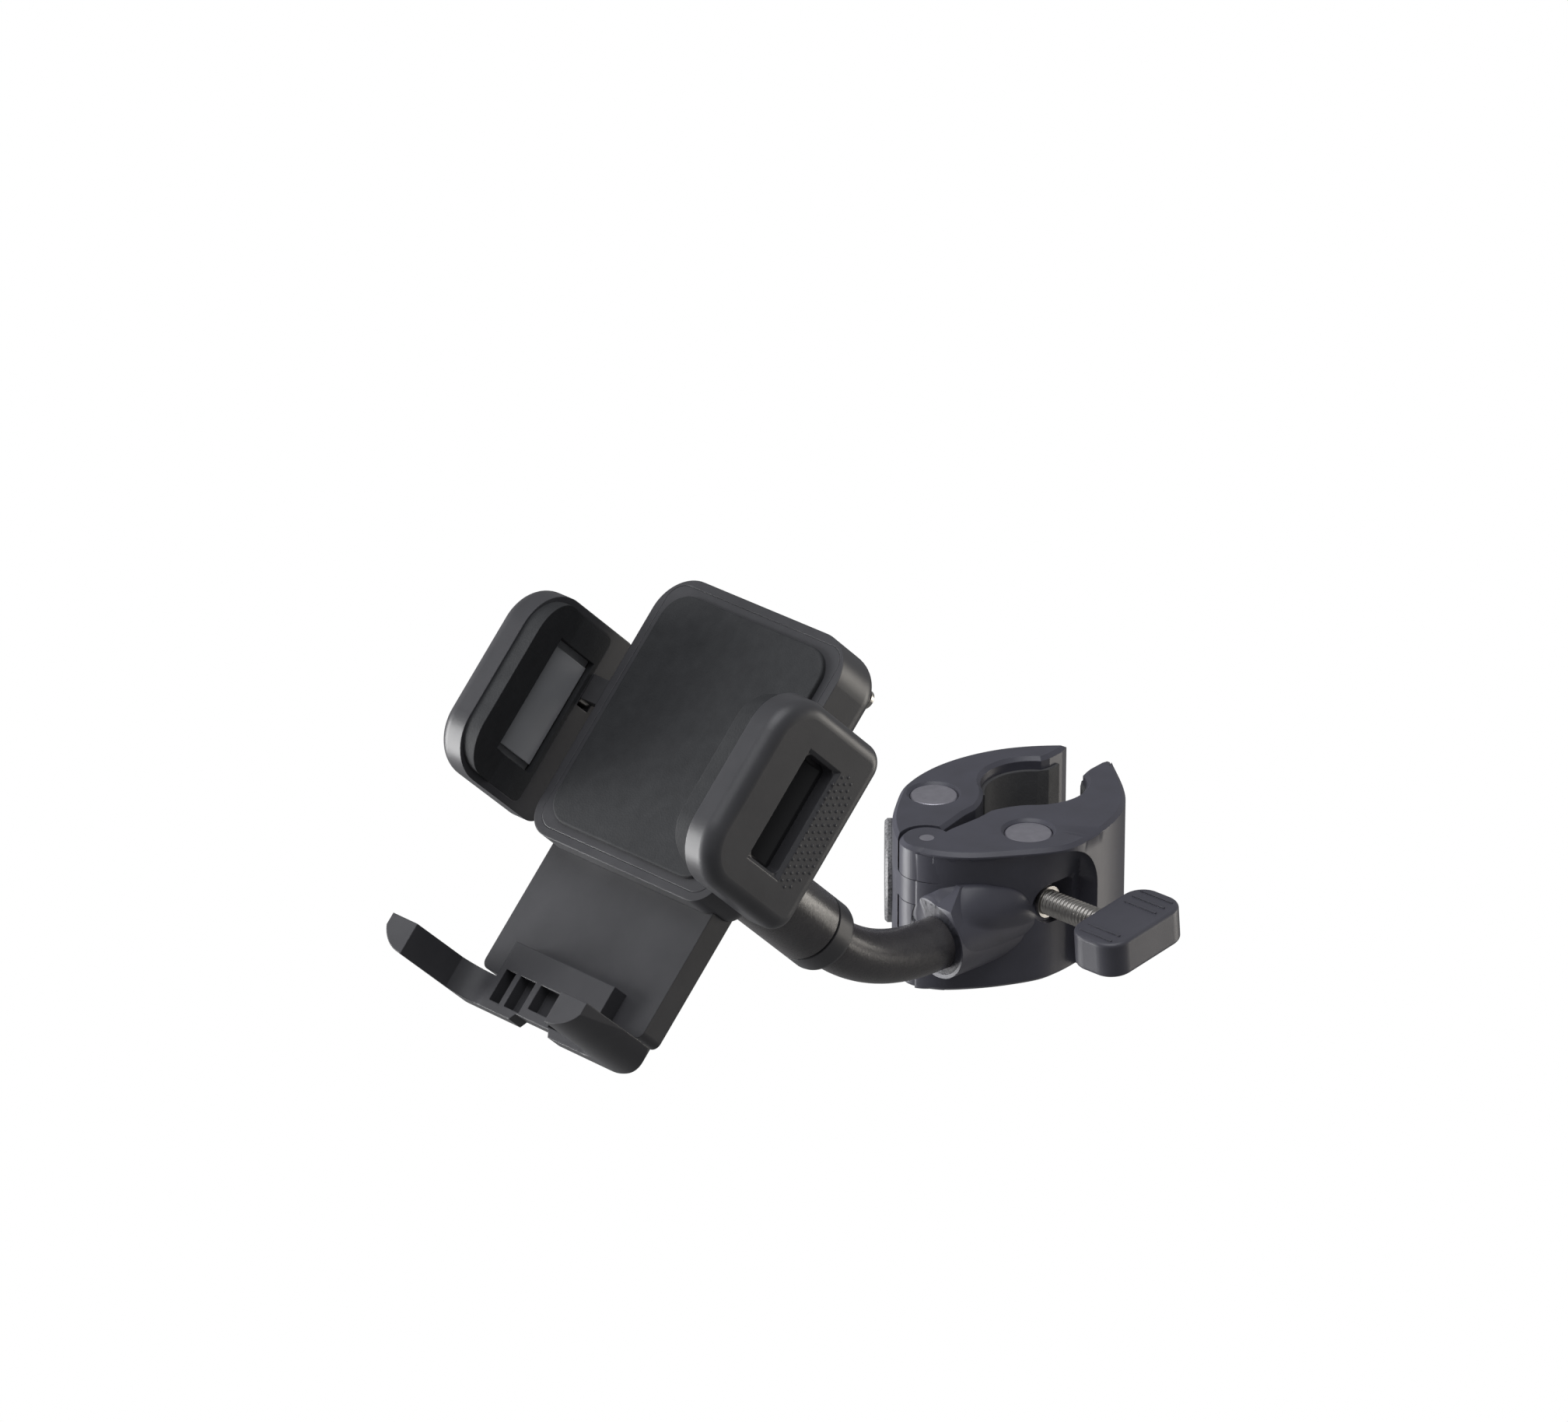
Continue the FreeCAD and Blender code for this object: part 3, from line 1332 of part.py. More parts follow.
for name, side in (("left", -1), ("right", 1)):
    write(name + "_arm", in_cradle(arm_shell(side)))
    write(name + "_pad", in_cradle(arm_pad(side)))
    write(name + "_grip_bar", in_cradle(grip_bar(side)))
    write(name + "_rack", in_cradle(rack_bar(side)))
    write(name + "_arm_screws", in_cradle(arm_screws(side)))
write("foot_slide", in_cradle(foot_slide()))
write("foot", in_cradle(foot()))
write("foot_screws", in_cradle(foot_screws()))
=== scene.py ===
import json
import math

import bmesh
import bpy
import numpy as np
from mathutils import Matrix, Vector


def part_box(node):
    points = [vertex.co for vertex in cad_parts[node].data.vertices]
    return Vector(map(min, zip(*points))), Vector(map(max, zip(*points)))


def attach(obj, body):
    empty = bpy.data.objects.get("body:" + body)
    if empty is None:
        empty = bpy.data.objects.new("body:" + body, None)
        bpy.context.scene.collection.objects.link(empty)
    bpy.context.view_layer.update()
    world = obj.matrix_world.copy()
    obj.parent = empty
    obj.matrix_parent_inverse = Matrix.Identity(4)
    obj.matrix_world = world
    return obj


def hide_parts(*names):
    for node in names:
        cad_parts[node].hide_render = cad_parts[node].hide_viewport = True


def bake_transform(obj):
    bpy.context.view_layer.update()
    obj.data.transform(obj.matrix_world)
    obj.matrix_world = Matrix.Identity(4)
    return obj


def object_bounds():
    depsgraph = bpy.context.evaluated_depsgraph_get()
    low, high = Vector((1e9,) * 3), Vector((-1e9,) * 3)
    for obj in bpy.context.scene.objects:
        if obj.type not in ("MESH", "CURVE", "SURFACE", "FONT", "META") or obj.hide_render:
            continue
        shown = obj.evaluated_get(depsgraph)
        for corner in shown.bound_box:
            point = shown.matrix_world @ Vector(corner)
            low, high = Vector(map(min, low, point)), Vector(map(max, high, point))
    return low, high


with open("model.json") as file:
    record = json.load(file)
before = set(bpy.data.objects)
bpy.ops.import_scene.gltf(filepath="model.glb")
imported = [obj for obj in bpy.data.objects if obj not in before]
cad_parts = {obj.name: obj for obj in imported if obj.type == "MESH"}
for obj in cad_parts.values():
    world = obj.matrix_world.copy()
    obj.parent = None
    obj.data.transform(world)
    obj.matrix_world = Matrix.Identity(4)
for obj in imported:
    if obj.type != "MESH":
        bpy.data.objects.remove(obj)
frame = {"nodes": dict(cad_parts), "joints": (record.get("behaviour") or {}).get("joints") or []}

cad_low, cad_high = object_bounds()
MM = 0.001
nodes = frame["nodes"]
joints = {joint["name"]: joint for joint in frame["joints"]}


# Directions and places taken from the frame

def joint_point(name):
    """Point on a joint's axis."""
    return np.array(joints[name]["pos_m"])


def joint_way(name):
    """Direction of a joint's axis."""
    way = np.array(joints[name]["axis"], float)
    return way / np.linalg.norm(way)


ACROSS = joint_way("right_arm_slide")
DOWN = joint_way("foot_slide_out")
ALONG = -DOWN
OUT = joint_way("ball_roll")
BALL = joint_point("ball_roll")
SCREW = joint_way("knob_turn")
BARREL = joint_point("knob_turn")
BALL_DEPTH = 35.5 * MM
NECK_DROP = 27.1 * MM
CRADLE = BALL + OUT * BALL_DEPTH + ALONG * NECK_DROP


def in_cradle(points):
    """Cradle points (across, along, out) in metres, put in the frame: the cradle's origin plus each
    coordinate times its axis."""
    points = np.asarray(points, float)
    return CRADLE + points[..., :1] * ACROSS + points[..., 1:2] * ALONG + points[..., 2:3] * OUT


def side_axes(way):
    """Two unit directions square to a direction."""
    helper = np.array([0.0, 0.0, 1.0]) if abs(way[2]) < 0.9 else np.array([1.0, 0.0, 0.0])
    first = np.cross(helper, way)
    first /= np.linalg.norm(first)
    return first, np.cross(way, first)


# Meshes from grids

def mesh_object(name, points, faces, smooth=True):
    """Mesh object from an array of points and an array of faces."""
    mesh = bpy.data.meshes.new(name)
    mesh.from_pydata([tuple(p) for p in np.asarray(points)], [], [tuple(int(i) for i in f) for f in faces])
    mesh.polygons.foreach_set("use_smooth", [smooth] * len(mesh.polygons))
    mesh.update()
    piece = bpy.data.objects.new(name, mesh)
    bpy.context.scene.collection.objects.link(piece)
    return piece


def grid_faces(rows, columns, close_columns=True):
    """Quads of a grid of rows by columns, closed round the columns where asked."""
    row = np.arange(rows - 1)[:, None]
    column = np.arange(columns if close_columns else columns - 1)[None, :]
    following = (column + 1) % columns
    quads = np.stack([row * columns + column, row * columns + following,
                      (row + 1) * columns + following, (row + 1) * columns + column], -1)
    return quads.reshape(-1, 4)


def closed_tube(rings):
    """Points and faces of a tube given as rings (rows, columns, 3), each end closed by a fan to its
    centre."""
    rows, columns, _ = rings.shape
    points = np.concatenate([rings.reshape(-1, 3), rings[:1].mean(1), rings[-1:].mean(1)])
    column = np.arange(columns)
    following = (column + 1) % columns
    first, last = rows * columns, rows * columns + 1
    start = np.stack([following, column, np.full(columns, first)], -1)
    top = (rows - 1) * columns
    end = np.stack([top + column, top + following, np.full(columns, last)], -1)
    faces = [tuple(face) for group in (grid_faces(rows, columns), start, end) for face in group]
    return points, faces


# Pieces made here

def threaded_screw():
    """Thread of the clamp screw on a grid of angle and length: the radius is the core plus a ridge with
    straight flanks and a narrow flat crest, whose place along the screw moves by one pitch a turn. The
    ridge fades out over one pitch at both ends."""
    low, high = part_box("clamp_screw")
    box_corners = np.array([[x, y, z] for x in (low.x, high.x) for y in (low.y, high.y)
                            for z in (low.z, high.z)])
    reach = (box_corners - BARREL) @ SCREW
    crest, depth, pitch = 2.95 * MM, 0.48 * MM, 1.0 * MM
    tip_gap, knob_gap = 0.75 * MM, 0.4 * MM
    rings_a_pitch, corners = 9, 36
    flank_slope, root_flat = 2.6, 0.12
    start, end = reach.min() + tip_gap, reach.max() - knob_gap
    length = np.arange(start, end, pitch / rings_a_pitch)[:, None]
    angle = np.linspace(0, 2 * np.pi, corners, endpoint=False)[None, :]
    phase = (length / pitch - angle / (2 * np.pi)) % 1.0
    ridge = np.clip((0.5 - np.abs(phase - 0.5)) * flank_slope - root_flat, 0, 1)
    fade = np.clip(np.minimum(length - start, end - length) / pitch, 0, 1)
    radius = crest - depth * (1 - ridge * fade)
    first, second = side_axes(SCREW)
    rings = (BARREL + length[..., None] * SCREW + (radius * np.cos(angle))[..., None] * first
             + (radius * np.sin(angle))[..., None] * second)
    return mesh_object("screw_thread", *closed_tube(rings))


def coil_piece(name, start, way, length, radius, wire, turns):
    """Coil spring: a circle of the wire's radius carried along a helix, whose rise is level over the
    first and last part of a turn as on a closed end."""
    rings_a_turn, wire_corners, closed_turn = 28, 10, 0.6
    turn = np.linspace(0, turns, int(turns * rings_a_turn) + 1)
    share = np.clip((turn - closed_turn) / (turns - 2 * closed_turn), 0, 1)
    rise = wire / 2 + (length - wire) * share
    angle = 2 * np.pi * turn
    first, second = side_axes(way)
    outward = np.cos(angle)[:, None] * first + np.sin(angle)[:, None] * second
    centre = start + rise[:, None] * way + radius * outward
    round_wire = np.linspace(0, 2 * np.pi, wire_corners, endpoint=False)[::-1]
    rings = (centre[:, None] + (wire / 2 * np.cos(round_wire))[None, :, None] * outward[:, None]
             + (wire / 2 * np.sin(round_wire))[None, :, None] * way)
    return mesh_object(name, *closed_tube(rings))


def dot_places():
    """Places (along, out) of the raised dots on a side arm: a slanted lattice of five columns that follow
    the arm and seventeen rows, of which the first and the last few are cut short to round the field off."""
    first = np.array([-6.1, -8.47]) * MM
    column_step = np.array([0.815, -1.66]) * MM
    row_step = np.array([-1.635, -0.1]) * MM
    short_rows = {0: (1, 3), 1: (0, 4), 2: (0, 4), 15: (0, 4), 16: (1, 3)}
    places = []
    for row in range(17):
        start, end = short_rows.get(row, (0, 5))
        places += [first + row * row_step + column * column_step for column in range(start, end)]
    return places


def grip_dots(name, side):
    """Raised dots on the outer wall of a side arm, each a cap of three rings whose height falls with the
    cosine of the distance from its middle."""
    radius, height, sink = 0.45 * MM, 0.25 * MM, 0.05 * MM
    arm_wall = 43.4 * MM
    wall = side * arm_wall
    corners = 10
    turn = np.linspace(0, 2 * np.pi, corners, endpoint=False)
    shares = (1.0, 0.72, 0.38)
    points, faces = [], []
    for along, out in dot_places():
        base = len(points)
        for share in shares:
            lift = height * math.cos(share * math.pi / 2) - (sink if share == 1.0 else 0)
            points += [(wall + side * lift, along + radius * share * math.cos(angle),
                        out + radius * share * math.sin(angle)) for angle in turn]
        points.append((wall + side * height, along, out))
        faces += [tuple(base + i for i in quad) for quad in grid_faces(len(shares), corners)]
        last = base + (len(shares) - 1) * corners
        faces += [(last + k, last + (k + 1) % corners, base + len(shares) * corners) for k in range(corners)]
    if side < 0:
        faces = [face[::-1] for face in faces]
    return mesh_object(name, in_cradle(np.array(points)), faces)


# Front jaw: lower wall, arm boss and knuckle fillet. Plan points are millimetres from the hinge.

HINGE = joint_point("jaw_hinge")[:2]
KNUCKLE_ROUND = 6.15
BARREL_ROOM = 5.62
JAW_FOOT = -17.3
WALL_FOOT = [(-4.6, -5.2), (-3.0, -8.2), (2.4, -13.5), (8.1, -17.7), (14.5, -21.2), (20.0, -22.3),
             (25.5, -22.5), (31.0, -22.2)]
WALL_TOP = [(-4.7, -5.6), (-3.1, -8.6), (1.3, -14.3), (6.8, -19.1), (12.4, -23.2), (18.0, -26.4),
            (24.5, -26.6), (31.0, -26.3)]


def through(points, steps=12):
    """Smooth curve through plan points: between two of them a cubic whose slope at each point is half the
    step between its neighbours."""
    points = np.asarray(points, float)
    ends = np.vstack([2 * points[0] - points[1], points, 2 * points[-1] - points[-2]])
    share = np.linspace(0, 1, steps, endpoint=False)[:, None]
    curve = []
    for before, start, end, after in zip(ends, ends[1:], ends[2:], ends[3:]):
        curve.append(start + share * (end - before) / 2
                     + share ** 2 * (before - 2.5 * start + 2 * end - after / 2)
                     + share ** 3 * (1.5 * (start - end) + (after - before) / 2))
    return np.vstack(curve + [points[-1:]])


def pushed_out(points, centre, radius):
    """Points no nearer to an upright axis than a radius, moved straight away from it where they were."""
    offset = points[..., :2] - centre
    reach = np.linalg.norm(offset, axis=-1, keepdims=True)
    points[..., :2] = centre + offset * np.maximum(1, radius / np.maximum(reach, 1e-6))
    return points


def clear_of_pins(points):
    """Points kept out of the knuckle's round and out of the room of the cross barrel."""
    points = pushed_out(points, HINGE, KNUCKLE_ROUND * MM)
    return pushed_out(points, BARREL[:2], BARREL_ROOM * MM)


def sharpened(piece, angle):
    """Smooth shading broken at edges that turn by more than an angle in degrees."""
    piece.data.set_sharp_from_angle(angle=math.radians(angle))
    return piece


def front_wall():
    """Lower wall of the front jaw: an upright band along the foot of the cove, whose top edge drops to the
    lower edge of the screw's window: a large arc, a level run and a small arc."""
    curve = through([(-4.15, -4.65)] + WALL_FOOT[1:])
    large, small, sill = 4.75, 2.0, -3.3
    window_start, level_start, level_end, window_end = 12.5, 17.25, 22.1, 24.1
    cove_foot = 2.05
    breaks = [12.499, 12.501, 24.099, 24.101]
    across = np.sort(np.concatenate([curve[:, 0], np.linspace(window_start, level_start, 12),
                                     np.linspace(level_end, 24.09, 8), breaks]))
    line = np.stack([across, np.interp(across, curve[:, 0], curve[:, 1])], 1)
    slope = np.interp(across, curve[1:, 0], np.diff(curve[:, 1]) / np.diff(curve[:, 0]))
    outward = np.stack([slope, -np.ones_like(slope)], 1) / np.sqrt(1 + slope ** 2)[:, None]
    large_arc = 1.45 - np.sqrt(np.maximum(0, large ** 2 - (level_start - across) ** 2))
    small_arc = -1.3 - np.sqrt(np.maximum(0, small ** 2 - (across - level_end) ** 2))
    window = np.where(across < level_start, large_arc, np.where(across > level_end, small_arc, sill))
    top = np.where((across < window_start) | (across > window_end), cove_foot, window)
    foot, chamfer, proud, depth = JAW_FOOT, 0.9, 0.03, -1.1
    profile = [(depth, 0 * top + foot), (-chamfer, 0 * top + foot), (proud, 0 * top + foot + chamfer)]
    profile += [(proud, foot + chamfer + share * (top - foot - chamfer)) for share in (0.3, 0.6, 0.9, 1.0)]
    profile += [(depth, top)]
    rings = np.stack([np.concatenate([line + inset * outward, height[:, None]], 1)
                      for inset, height in profile], 1) * MM
    rings[..., :2] += HINGE
    rings = clear_of_pins(rings)
    return sharpened(mesh_object("front_jaw_wall", *closed_tube(rings[:, ::-1])), 30)


BOSS = np.array([-45.04, -8.29, -3.65]) * MM
BOSS_TURN = math.radians(-8.54)
BOSS_WAY = np.array([math.cos(BOSS_TURN), math.sin(BOSS_TURN), 0.0])
BOSS_OUT = np.array([math.sin(BOSS_TURN), -math.cos(BOSS_TURN), 0.0])


def boss_section(along):
    """Section of the arm boss as its reach in 160 directions from the middle: the hull of a round that tapers
    and drifts outwards along the boss, a corner that forms the ledge, and a corner inside the wall."""
    stations = [0.0, 1.4, 2.84, 4.0, 5.0, 7.5, 9.7, 12.0, 14.0, 15.9, 18.0, 19.5, 21.0, 21.8, 24.0]
    ledge_out = [0.6, 0.8, 1.2, 1.7, 2.2, 4.1, 5.6, 6.6, 7.4, 8.1, 8.75, 9.1, 9.2, 9.0, 5.0]
    ledge_up = [8.7, 9.9, 11.2, 12.2, 12.85, 12.9, 12.7, 12.0, 11.4, 10.9, 9.7, 8.5, 5.5, 3.0, 2.5]
    wall_up = [8.85, 10.9, 12.85, 12.9, 12.9, 12.9, 12.7, 12.0, 11.4, 10.9, 9.7, 8.5, 5.5, 3.0, 2.5]
    wall_out = [-7.0, -4.5, -2.6, -2.6, -2.0, -1.0, 0.0, 0.0, 1.0, 2.0, 3.0, 4.0, 5.0, 5.0, 3.0]
    fine_steps, directions = 1440, 160
    blunt = np.interp(along, [0, 3, 5, 16, 22], [1.2, 0.6, 0.35, 0.5, 1.5])
    middle = np.array([0.1 + 0.16 * along, 0.4 + 0.07 * along])
    ledge = [np.interp(along, stations, row) for row in (ledge_out, ledge_up)]
    wall = [np.interp(along, stations, row) for row in (wall_out, wall_up)]
    discs = [(middle[0], middle[1], 8.3 - 0.12 * along),
             (ledge[0] - blunt, ledge[1] - blunt, blunt),
             (wall[0] + blunt, wall[1] - blunt, blunt)]
    turn = np.linspace(0, 2 * np.pi, fine_steps, endpoint=False)
    way = np.stack([np.cos(turn), np.sin(turn)], 1)
    support = np.stack([way @ np.array(disc[:2]) + disc[2] for disc in discs], 1)
    chosen = support.argmax(1)
    hull = np.array(discs)[chosen, :2] + way * np.array(discs)[chosen, 2:] - middle
    seen = np.arctan2(hull[:, 1], hull[:, 0])
    order = np.argsort(seen)
    angle = np.linspace(-np.pi, np.pi, directions, endpoint=False)
    reach = np.interp(angle, seen[order], np.hypot(hull[:, 0], hull[:, 1])[order], period=2 * np.pi)
    return middle, angle, reach


def arm_boss():
    """Boss that holds the arm: an end ring round the tube, a narrow chamfer, then its sections along its
    axis until they sink into the wall. Each section is averaged with its neighbours, whose weight falls
    with the distance as a bell curve."""
    boss_length, spread, hole_radius, chamfer = 24, 1.3, 6.15, 0.35
    stations = np.linspace(0, boss_length, 97)
    middles, reaches = [], []
    for along in stations:
        middle, angle, reach = boss_section(along)
        middles.append(middle)
        reaches.append(reach)
    middles, reaches = np.array(middles), np.array(reaches)
    weight = np.exp(-(np.subtract.outer(stations, stations) / spread) ** 2)
    reaches = weight @ reaches / weight.sum(1, keepdims=True)
    way = np.stack([np.cos(angle), np.sin(angle)], 1)
    hole = hole_radius * way
    levels = [(1.5, hole), (0.0, hole), (0.0, middles[0] + way * (reaches[0] - chamfer)[:, None])]
    levels += [(max(along, chamfer), middle + way * reach[:, None])
               for along, middle, reach in zip(stations, middles, reaches) if along == 0 or along > 0.4]
    upright = np.array([0, 0, 1.0])
    rings = np.array([BOSS + MM * (along * BOSS_WAY + ring[:, :1] * BOSS_OUT + ring[:, 1:] * upright)
                      for along, ring in levels])
    return sharpened(mesh_object("arm_boss", *closed_tube(clear_of_pins(rings))), 35)


def boss_room():
    """Room taken by the boss, outside the knuckle and the wall: four outlines, one above the other."""
    rings = []
    for height, share in ((-12.7, 0.0), (2.0, 0.0), (7.5, 0.12), (9.47, 0.25)):
        wall = np.array(WALL_FOOT) + share * (np.array(WALL_TOP) - np.array(WALL_FOOT))
        wall = through(wall)
        wall = wall[wall[:, 0] < 22.0] + np.array([-0.08, -0.1])
        angle = np.radians(np.linspace(160, 226, 12))
        arc = KNUCKLE_ROUND * np.stack([np.cos(angle), np.sin(angle)], 1)
        far = np.array([(24.0, -45.0), (-20.0, -45.0), (-20.0, 2.1)])
        plan = np.vstack([arc, wall, far])
        rings.append(np.concatenate([plan, np.full((len(plan), 1), height)], 1))
    rings = np.array([ring[:min(len(r) for r in rings)] for ring in rings]) * MM
    rings[..., :2] += HINGE
    return mesh_object("boss_room", *capped_prism(rings))


def knuckle_blend(name, low, high, chamfer):
    """Fillet between the knuckle and the front wall: in plan a quadratic curve that leaves the knuckle
    along its round and meets the wall, closed behind by the knuckle's own arc."""
    share = np.linspace(0, 1, 25)[:, None]
    start, bend, end = np.array([-5.93, -1.59]), np.array([-5.45, -4.8]), np.array([-2.95, -8.3])
    back_round, least_reach = 6.13, 6.135
    face = (1 - share) ** 2 * start + 2 * share * (1 - share) * bend + share ** 2 * end
    reach = np.linalg.norm(face, axis=1, keepdims=True)
    arc = (face / reach * back_round)[::-1]
    levels = [(low, chamfer), (low + chamfer, 0.0), (high, 0.0)]
    rings = []
    for height, inset in levels:
        outline = np.vstack([face / reach * np.maximum(least_reach, reach - inset), arc])
        rings.append(np.concatenate([outline, np.full((len(outline), 1), height)], 1))
    rings = np.array(rings) * MM
    rings[..., :2] += HINGE
    return sharpened(mesh_object(name, *capped_prism(rings[:, ::-1])), 35)


def capped_prism(rings):
    """Points and faces of stacked outlines, each end closed by one flat face."""
    rows, columns, _ = rings.shape
    faces = [tuple(f) for f in grid_faces(rows, columns)]
    faces += [tuple(range(columns))[::-1], tuple(range((rows - 1) * columns, rows * columns))]
    return rings.reshape(-1, 3), faces


def jaw_without_boss():
    """Front jaw copied from its solid, its loose triangles merged and the room of the boss cut away."""
    copied = bmesh.new()
    copied.from_mesh(nodes["front_jaw"].data)
    bmesh.ops.remove_doubles(copied, verts=copied.verts, dist=1e-7)
    mesh = bpy.data.meshes.new("front_jaw_casting")
    copied.to_mesh(mesh)
    copied.free()
    piece = bpy.data.objects.new("front_jaw_casting", mesh)
    bpy.context.scene.collection.objects.link(piece)
    room = boss_room()
    cut = piece.modifiers.new("boss_room", "BOOLEAN")
    cut.operation = "DIFFERENCE"
    cut.solver = "EXACT"
    cut.object = room
    shape = bpy.data.meshes.new_from_object(piece.evaluated_get(bpy.context.evaluated_depsgraph_get()))
    piece.modifiers.clear()
    piece.data = shape
    bpy.data.objects.remove(room)
    shape.polygons.foreach_set("use_smooth", [True] * len(shape.polygons))
    return sharpened(piece, 14)


# Materials

def linear(hex_colour):
    """Linear colour of an sRGB hex value."""
    parts = [int(hex_colour[i:i + 2], 16) / 255 for i in (1, 3, 5)]
    return [c / 12.92 if c <= 0.04045 else ((c + 0.055) / 1.055) ** 2.4 for c in parts] + [1.0]


def add(material, kind, values=None, links=None, **settings):
    """Adds one node: settings are its properties, values its inputs, and links the outputs that feed
    its inputs."""
    node = material.node_tree.nodes.new(kind)
    for key, value in settings.items():
        setattr(node, key, value)
    for key, value in (values or {}).items():
        node.inputs[key].default_value = value
    for key, output in (links or {}).items():
        material.node_tree.links.new(output, node.inputs[key])
    return node


def new_material(name):
    """Empty node material with its output and a Principled shader."""
    material = bpy.data.materials.new(name)
    material.use_nodes = True
    tree = material.node_tree
    tree.nodes.clear()
    output = tree.nodes.new("ShaderNodeOutputMaterial")
    shader = tree.nodes.new("ShaderNodeBsdfPrincipled")
    tree.links.new(shader.outputs["BSDF"], output.inputs["Surface"])
    place = tree.nodes.new("ShaderNodeTexCoord").outputs["Object"]
    return material, shader, place


def two_tones(ramp, dark, light, low, high):
    """Sets a colour ramp to run from one hex colour to another between two shares."""
    for stop, share, colour in zip(ramp.color_ramp.elements, (low, high), (dark, light)):
        stop.position = share
        stop.color = linear(colour)


def mottle(material, shader, place, dark, light, size):
    """Base colour that wanders between two close tones, over patches of a size in metres."""
    noise = add(material, "ShaderNodeTexNoise", {"Scale": 1 / size, "Detail": 4.0, "Roughness": 0.6},
                {"Vector": place})
    ramp = add(material, "ShaderNodeValToRGB", links={"Fac": noise.outputs["Fac"]})
    two_tones(ramp, dark, light, 0.25, 0.75)
    material.node_tree.links.new(ramp.outputs["Color"], shader.inputs["Base Color"])


def grain(material, shader, place, size, height, strength=1.0, rounding=0.25 * MM, kind="noise"):
    """Fine relief of a grain size and height in metres, over edges that catch the light as if rounded.
    The grain is drawn coarser than the real one, which is too fine to show."""
    edge = add(material, "ShaderNodeBevel", {"Radius": rounding}, samples=4)
    if kind == "noise":
        pattern = add(material, "ShaderNodeTexNoise", {"Scale": 1 / size, "Detail": 2.0}, {"Vector": place})
        relief = pattern.outputs["Fac"]
    else:
        pattern = add(material, "ShaderNodeTexVoronoi", {"Scale": 1 / size}, {"Vector": place})
        relief = pattern.outputs["Distance"]
    bump = add(material, "ShaderNodeBump", {"Strength": strength, "Distance": height},
               {"Height": relief, "Normal": edge.outputs["Normal"]})
    material.node_tree.links.new(bump.outputs["Normal"], shader.inputs["Normal"])


def rough_range(material, shader, place, size, low, high):
    """Roughness that varies a little over patches of a size in metres, as handled surfaces do."""
    noise = add(material, "ShaderNodeTexNoise", {"Scale": 1 / size, "Detail": 3.0}, {"Vector": place})
    spread = add(material, "ShaderNodeMapRange", {"To Min": low, "To Max": high},
                 {"Value": noise.outputs["Fac"]})
    material.node_tree.links.new(spread.outputs["Result"], shader.inputs["Roughness"])


def share_along(material, place, centre, way, low, high, both_ways=False):
    """Share from 0 to 1 of the distance from a point along a direction, between two distances in metres."""
    offset = add(material, "ShaderNodeVectorMath", {1: tuple(centre)}, {0: place}, operation="SUBTRACT")
    reach = add(material, "ShaderNodeVectorMath", {1: tuple(way)}, {0: offset.outputs[0]},
                operation="DOT_PRODUCT")
    distance = reach.outputs["Value"]
    if both_ways:
        distance = add(material, "ShaderNodeMath", links={0: distance}, operation="ABSOLUTE").outputs[0]
    spread = add(material, "ShaderNodeMapRange", {"From Min": low, "From Max": high},
                 {"Value": distance})
    return spread.outputs["Result"]


def second_tone(material, shader, share, colour):
    """Mixes a second colour into the base colour by a share."""
    base = shader.inputs["Base Color"].links[0].from_socket
    mix = add(material, "ShaderNodeMix", {7: linear(colour)}, {0: share, 6: base}, data_type="RGBA")
    material.node_tree.links.new(mix.outputs[2], shader.inputs["Base Color"])


def powder_coat(name):
    """Die-cast aluminium with a baked slate powder coat: satin, with a fine orange peel."""
    material, shader, place = new_material(name)
    mottle(material, shader, place, "#484850", "#50505a", 9 * MM)
    shader.inputs["Specular IOR Level"].default_value = 0.5
    shader.inputs["IOR"].default_value = 1.5
    rough_range(material, shader, place, 6 * MM, 0.36, 0.46)
    grain(material, shader, place, 0.35 * MM, 0.012 * MM, 0.6, 0.2 * MM)
    return material, shader, place


def worn_casting():
    """The rear jaw's coat, whose round boss shows bare grey metal with a sandblasted grain."""
    material, shader, place = powder_coat("coated_casting_with_bare_boss")
    boss_way, coat_end, bare_start = (-0.6374, 0.7705, 0.0), 32.0 * MM, 32.3 * MM
    speckle_size = 0.5 * MM
    bare = share_along(material, place, (0, 0, 0), boss_way, coat_end, bare_start)
    speckle = add(material, "ShaderNodeTexNoise", {"Scale": 1 / speckle_size, "Detail": 3.0},
                  {"Vector": place})
    tone = add(material, "ShaderNodeValToRGB", links={"Fac": speckle.outputs["Fac"]})
    two_tones(tone, "#59595b", "#98989a", 0.35, 0.65)
    base = shader.inputs["Base Color"].links[0].from_socket
    mix = add(material, "ShaderNodeMix", links={0: bare, 6: base, 7: tone.outputs["Color"]}, data_type="RGBA")
    material.node_tree.links.new(mix.outputs[2], shader.inputs["Base Color"])
    return material


def tube_paint():
    """Steel tube in semi-gloss black enamel, a little dusty, with the grain of the steel under it."""
    material, shader, place = new_material("semi_gloss_enamel")
    mottle(material, shader, place, "#403e40", "#4c4a4b", 3 * MM)
    shader.inputs["IOR"].default_value = 1.6
    rough_range(material, shader, place, 1.0 * MM, 0.2, 0.36)
    grain(material, shader, place, 0.6 * MM, 0.035 * MM, 0.7, 0.2 * MM)
    return material


def machined_steel():
    """Turned steel, bright and slightly brushed, for barrels and the pin."""
    material, shader, place = new_material("machined_steel")
    mottle(material, shader, place, "#b9b7c0", "#c9c7d0", 2 * MM)
    shader.inputs["Metallic"].default_value = 1.0
    rough_range(material, shader, place, 1 * MM, 0.36, 0.46)
    grain(material, shader, place, 0.2 * MM, 0.006 * MM, 0.5, 0.2 * MM)
    return material


